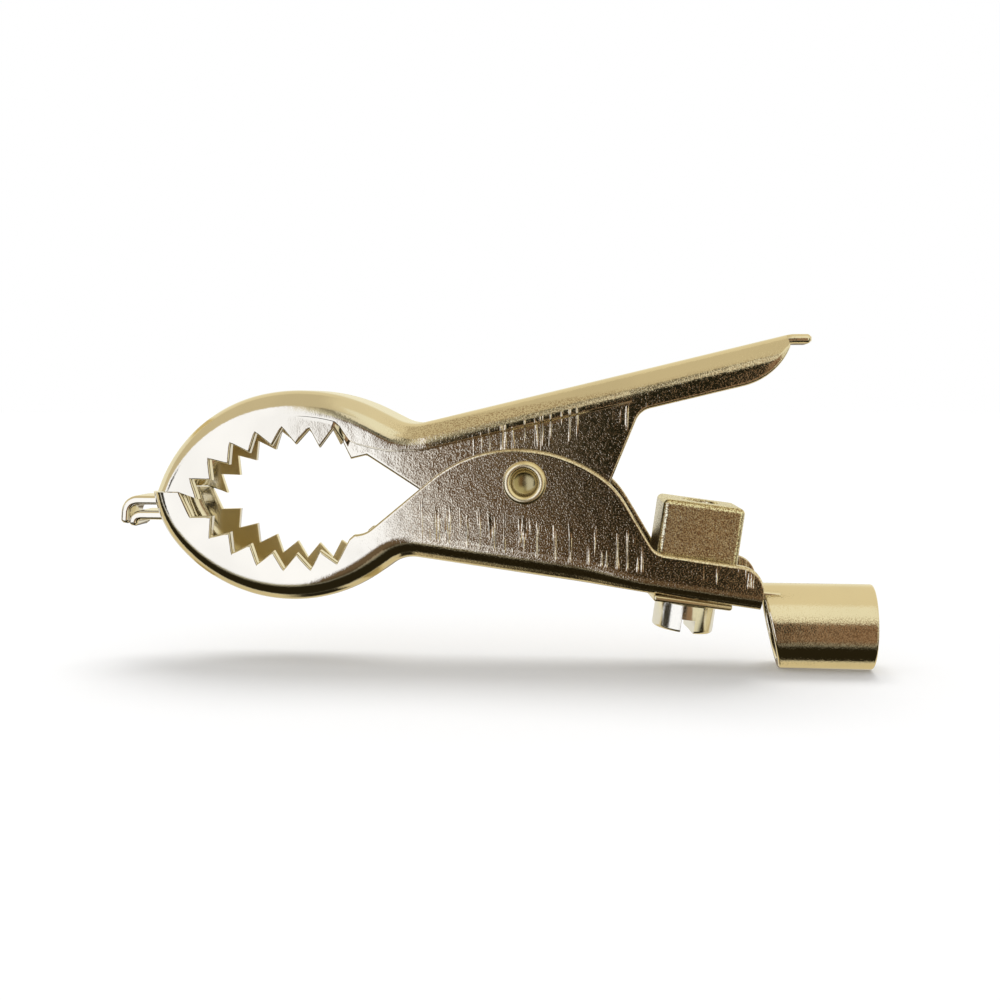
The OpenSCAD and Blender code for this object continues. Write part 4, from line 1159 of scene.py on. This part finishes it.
class CLIP_OT_clamp(bpy.types.Operator):
    """Wire clamp: slotted screw, square washer plate and block"""

    bl_idname = "clip.clamp"
    bl_label = "Wire clamp"

    def screw(self, g, c, stand):
        """Slotted screw with a rolled thread, head down."""
        seat = -g.washer_t - g.head_gap
        base, head_r = seat - g.head_h, g.head_d / 2
        tip = c.sheet + g.block_rise + g.block_h - g.tip_below
        core, crown, crown_flat, brim, hair = 0.05, 0.2, 0.5, 0.12, 0.02
        tip_cut, tip_flat = 0.22, 0.3
        thread_from, thread_to, thread_rings = seat + 0.3, tip - 0.25, 140
        thread_depth, undercut = 0.15, 0.005
        profile = [(core, base + hair), (head_r - crown - crown_flat, base)]
        profile += round_corner(head_r - crown, base + crown, crown, -90, 90)
        profile += round_corner(head_r - brim, seat - brim, brim, 0, 90)
        profile += [(g.screw_r + hair, seat), (g.screw_r, seat + hair)]
        for k in range(thread_rings + 1):
            profile.append((g.screw_r, thread_from + (thread_to - thread_from) * k / thread_rings))
        profile += [(g.screw_r - tip_cut, tip - hair), (g.screw_r - tip_flat, tip), (core, tip)]

        def thread(r, z, a):
            if abs(r - g.screw_r) > hair / 2 or z < thread_from - hair:
                return 0.0
            return -thread_depth * (0.5 + 0.5 * cos(a - 2 * pi * z / g.thread_pitch)) - undercut

        screw = turned("screw", profile, 72, thread)
        slot = box("slot", (-g.slot_w / 2, -g.head_d, base - 1), (g.slot_w / 2, g.head_d, base + g.slot_depth))
        slot.data.transform(Matrix.Rotation(radians(g.slot_turn), 4, "Z"))
        cut(screw, slot)
        screw.data.transform(stand)
        ease(screw, 0.05)
        finish_piece(screw, "screw", "clamp_screw", "turned_nickel")

    def washer(self, g, stand):
        """Square plate between the screw's head and the channel."""
        half, hair = g.washer_side / 2, 0.002
        plate = box("washer", (-half, -half, -g.washer_t), (half, half, -hair))
        cut(plate, rod(g.screw_r + SHEET_PLAY, 4, (0, 0, 0), Matrix()))
        plate.data.transform(stand @ Matrix.Rotation(radians(g.washer_turn), 4, "Z"))
        ease(plate, 0.18, segments=5)
        finish_piece(plate, "lower_arm", "washer_plate", "rolled_nickel")

    def block(self, g, c, stand):
        """Block with tumbled edges, which the screw draws down on the wire."""
        x, y, z = g.block_len / 2, g.block_w / 2, c.sheet + g.block_rise
        block = box("block", (-x, -y, z), (x, y, z + g.block_h))
        bevel = block.modifiers.new("round", "BEVEL")
        bevel.width, bevel.segments = g.block_edge_r * MM, 8
        settle(block)
        cut(block, rod(g.screw_r + BLOCK_PLAY, 14, (0, 0, 4), Matrix()))
        block.data.transform(stand @ Matrix.Rotation(radians(g.block_turn), 4, "Z"))
        ease(block, 0.12, 50)
        finish_piece(block, "block", "clamp_block", "tumbled_nickel")

    def execute(self, context):
        o = Outline()
        g, c, w = held("clip_clamp"), o.c, o.w
        at = o.lower_at(g.screw_at, w.channel_off)
        tilt = Matrix.Rotation(radians(w.channel_tilt), 4, "Y")
        stand = Matrix.Translation((MM * at.x, 0, MM * at.y)) @ tilt
        self.screw(g, c, stand)
        self.washer(g, stand)
        self.block(g, c, stand)
        return {"FINISHED"}


class CLIP_OT_stage(bpy.types.Operator):
    """Floor, studio surroundings, camera and finishes"""

    bl_idname = "clip.stage"
    bl_label = "Stage"

    def finishes(self):
        """Every finish. Places of the draw marks, the specks and the rivet are in millimetres."""
        f, c = held("clip_finish"), held("clip_sheet")
        wall_specks, block_specks = (0.6, 2.43), (0.9, -1.0)
        handle_slope, channel_slope = 0.24, -0.137
        upper_marks = (
            (-1, handle_slope, 18.3, 0.0, 2.0, -24.9, -18.4),
            (-1, handle_slope, 18.0, 0.3, 1.6, -16.0, -14.6))
        lower_marks = (
            (1, channel_slope, 0.45, 1.25, 3.9, -28.2, -14.6),
            (1, channel_slope, 0.45, 1.3, 2.2, -10.6, -7.2))
        # The jaws' inner faces get a painted shade back to these places along the clip
        plated("upper_nickel", f.nickel, 1.0, upper_marks, inside=(f.inside, -34.0), specks=wall_specks)
        plated("lower_nickel", f.nickel, 1.0, lower_marks, inside=(f.inside, -31.0), specks=wall_specks)
        plated("tumbled_nickel", f.block, 2.0, rough=0.2, specks=block_specks)
        # The rivet's rolled end gets a painted shade in its hollow
        plated("rolled_nickel", f.rivet, 0.4, rough=0.24, hollow=(f.hollow, -c.pivot_back, c.pivot_up, 0.8))
        machined("turned_nickel", f.bright)
        machined("spring_wire", f.wire, 0.34)

    def floor(self):
        """Pale floor just under the socket, a little lit up for the camera and left out of reflections."""
        half_w, front, back, gap, glow_share = 0.8, -0.4, 1.6, 0.01 * MM, 0.12
        z = -(held("clip_lower").socket_d / 2 + held("clip_sheet").sheet) * MM - gap
        corners = [(-half_w, front, z), (half_w, front, z), (half_w, back, z), (-half_w, back, z)]
        mesh = bpy.data.meshes.new("floor")
        mesh.from_pydata(corners, [], [(0, 1, 2, 3)])
        obj = new_object("floor", mesh)
        mat = bpy.data.materials.new("floor")
        tree = Tree(mat)
        lit = tree.add("ShaderNodeBsdfDiffuse", None, {"Color": rgba(held("clip_finish").floor)})
        glow = tree.add("ShaderNodeEmission", None, {"Color": WHITE, "Strength": 1.0})
        seen = tree.add("ShaderNodeLightPath", out="Is Camera Ray")
        share = tree.add("ShaderNodeMixShader", None, {0: seen * glow_share, 1: lit, 2: glow})
        tree.add("ShaderNodeOutputMaterial", None, {"Surface": share})
        mesh.materials.append(mat)
        obj.visible_glossy = False

    def surroundings(self):
        """Room of pale walls with cards and dark gaps for reflections, and a white backdrop for the camera.

        Directions are in degrees: side runs to the right, rise runs up from the camera's side over the clip.
        A slanted edge leans to the right going down, from just below level, and slightly to the left going up.
        """
        lean_below, lean_above, lean_from, lean_range = 0.7, 0.12, 3.0, 8.0
        world = bpy.data.worlds.new("studio")
        bpy.context.scene.world = world
        tree = Tree(world)
        x, y, z = tree.split(tree.add("ShaderNodeTexCoord", out="Generated"))
        side = x.maths("ARCSINE", x) * (180 / pi)
        rise = x.maths("ARCTAN2", z, 0 - y) * (180 / pi)
        below = (rise + lean_from).clamped(-lean_range, 0.0)
        slanted = side + below * lean_below + rise.maths("MAXIMUM", rise, 0.0) * lean_above
        room = tree.mix(z.ramp(0.2, 0.7), WALLS, CEILING)
        for left, left_soft, right, right_soft, low, low_soft, high, high_soft, slant, colour in CARDS.values():
            mask = (slanted if slant else side).between(left, left_soft, right, right_soft)
            room = tree.mix(mask * rise.between(low, low_soft, high, high_soft), room, colour)
        seen, mirrored = tree.add("ShaderNodeLightPath", out=("Is Camera Ray", "Is Glossy Ray"))
        shown = tree.mix(mirrored, tree.mix(seen, DAYLIGHT, WHITE), room)
        back = tree.add("ShaderNodeBackground", None, {"Color": shown, "Strength": 1.0})
        tree.add("ShaderNodeOutputWorld", None, {"Surface": back})

    def lamp(self):
        """Soft light from above and behind, which throws the shadow forward."""
        energy, spread, lean = 1.3, 35, -22
        data = bpy.data.lights.new("softbox", "SUN")
        data.energy = energy
        data.angle = radians(spread)
        lamp = new_object("softbox", data)
        lamp.rotation_euler = (radians(lean), 0, 0)
        lamp.visible_glossy = False

    def camera(self):
        """Camera of the photograph, placed by the socket's mouth and its size in the picture."""
        focal, frame_px, sensor = 1300.0, 1000.0, 36.0
        horizon_px, aside_px = 100, 140
        mouth_px, socket_px, socket_mm, mouth_ahead = (872, 627), 85, 5.4, 0.3
        pitch = atan2(horizon_px, focal)
        yaw = atan2(aside_px * cos(pitch), focal)
        data = bpy.data.cameras.new("camera")
        data.sensor_fit = "HORIZONTAL"
        data.sensor_width = sensor
        data.lens = sensor * focal / frame_px
        data.clip_start, data.clip_end = 0.001, 10.0
        cam = new_object("camera", data)
        right = Vector((cos(yaw), sin(yaw), 0))
        ahead = Vector((-sin(yaw) * cos(pitch), cos(yaw) * cos(pitch), -sin(pitch)))
        up = right.cross(ahead)
        depth = focal * socket_mm / socket_px - mouth_ahead
        aside, down = [(px - frame_px / 2) / focal for px in mouth_px]
        eye = -(depth * (aside * right - down * up + ahead))
        cam.matrix_world = Matrix((
            (right.x, up.x, -ahead.x, eye.x * MM), (right.y, up.y, -ahead.y, eye.y * MM),
            (right.z, up.z, -ahead.z, eye.z * MM), (0, 0, 0, 1)))
        bpy.context.scene.camera = cam

    def execute(self, context):
        self.finishes()
        self.floor()
        self.surroundings()
        self.lamp()
        self.camera()
        bpy.context.scene.view_settings.view_transform = "Standard"
        return {"FINISHED"}


class CLIP_PT_panel(bpy.types.Panel):
    """Lists the clip's pieces"""

    bl_idname = "CLIP_PT_panel"
    bl_label = "Crocodile clip"
    bl_space_type = "VIEW_3D"
    bl_region_type = "UI"
    bl_category = "Clip"

    def draw(self, context):
        for op in OPERATORS:
            self.layout.operator(op.bl_idname)


OPERATORS = (
    CLIP_OT_stage, CLIP_OT_upper_arm, CLIP_OT_lower_arm, CLIP_OT_rivet, CLIP_OT_spring, CLIP_OT_clamp)
CLASSES = tuple(GROUPS.values()) + OPERATORS + (CLIP_PT_panel,)


def register():
    for cls in CLASSES:
        bpy.utils.register_class(cls)
    for name, group in GROUPS.items():
        setattr(bpy.types.Scene, name, PointerProperty(type=group))


def unregister():
    for name in GROUPS:
        delattr(bpy.types.Scene, name)
    for cls in reversed(CLASSES):
        bpy.utils.unregister_class(cls)


def main():
    register()
    bpy.ops.clip.stage()
    bpy.ops.clip.upper_arm()
    bpy.ops.clip.lower_arm()
    bpy.ops.clip.rivet()
    bpy.ops.clip.spring()
    bpy.ops.clip.clamp()


if __name__ == "__main__":
    main()
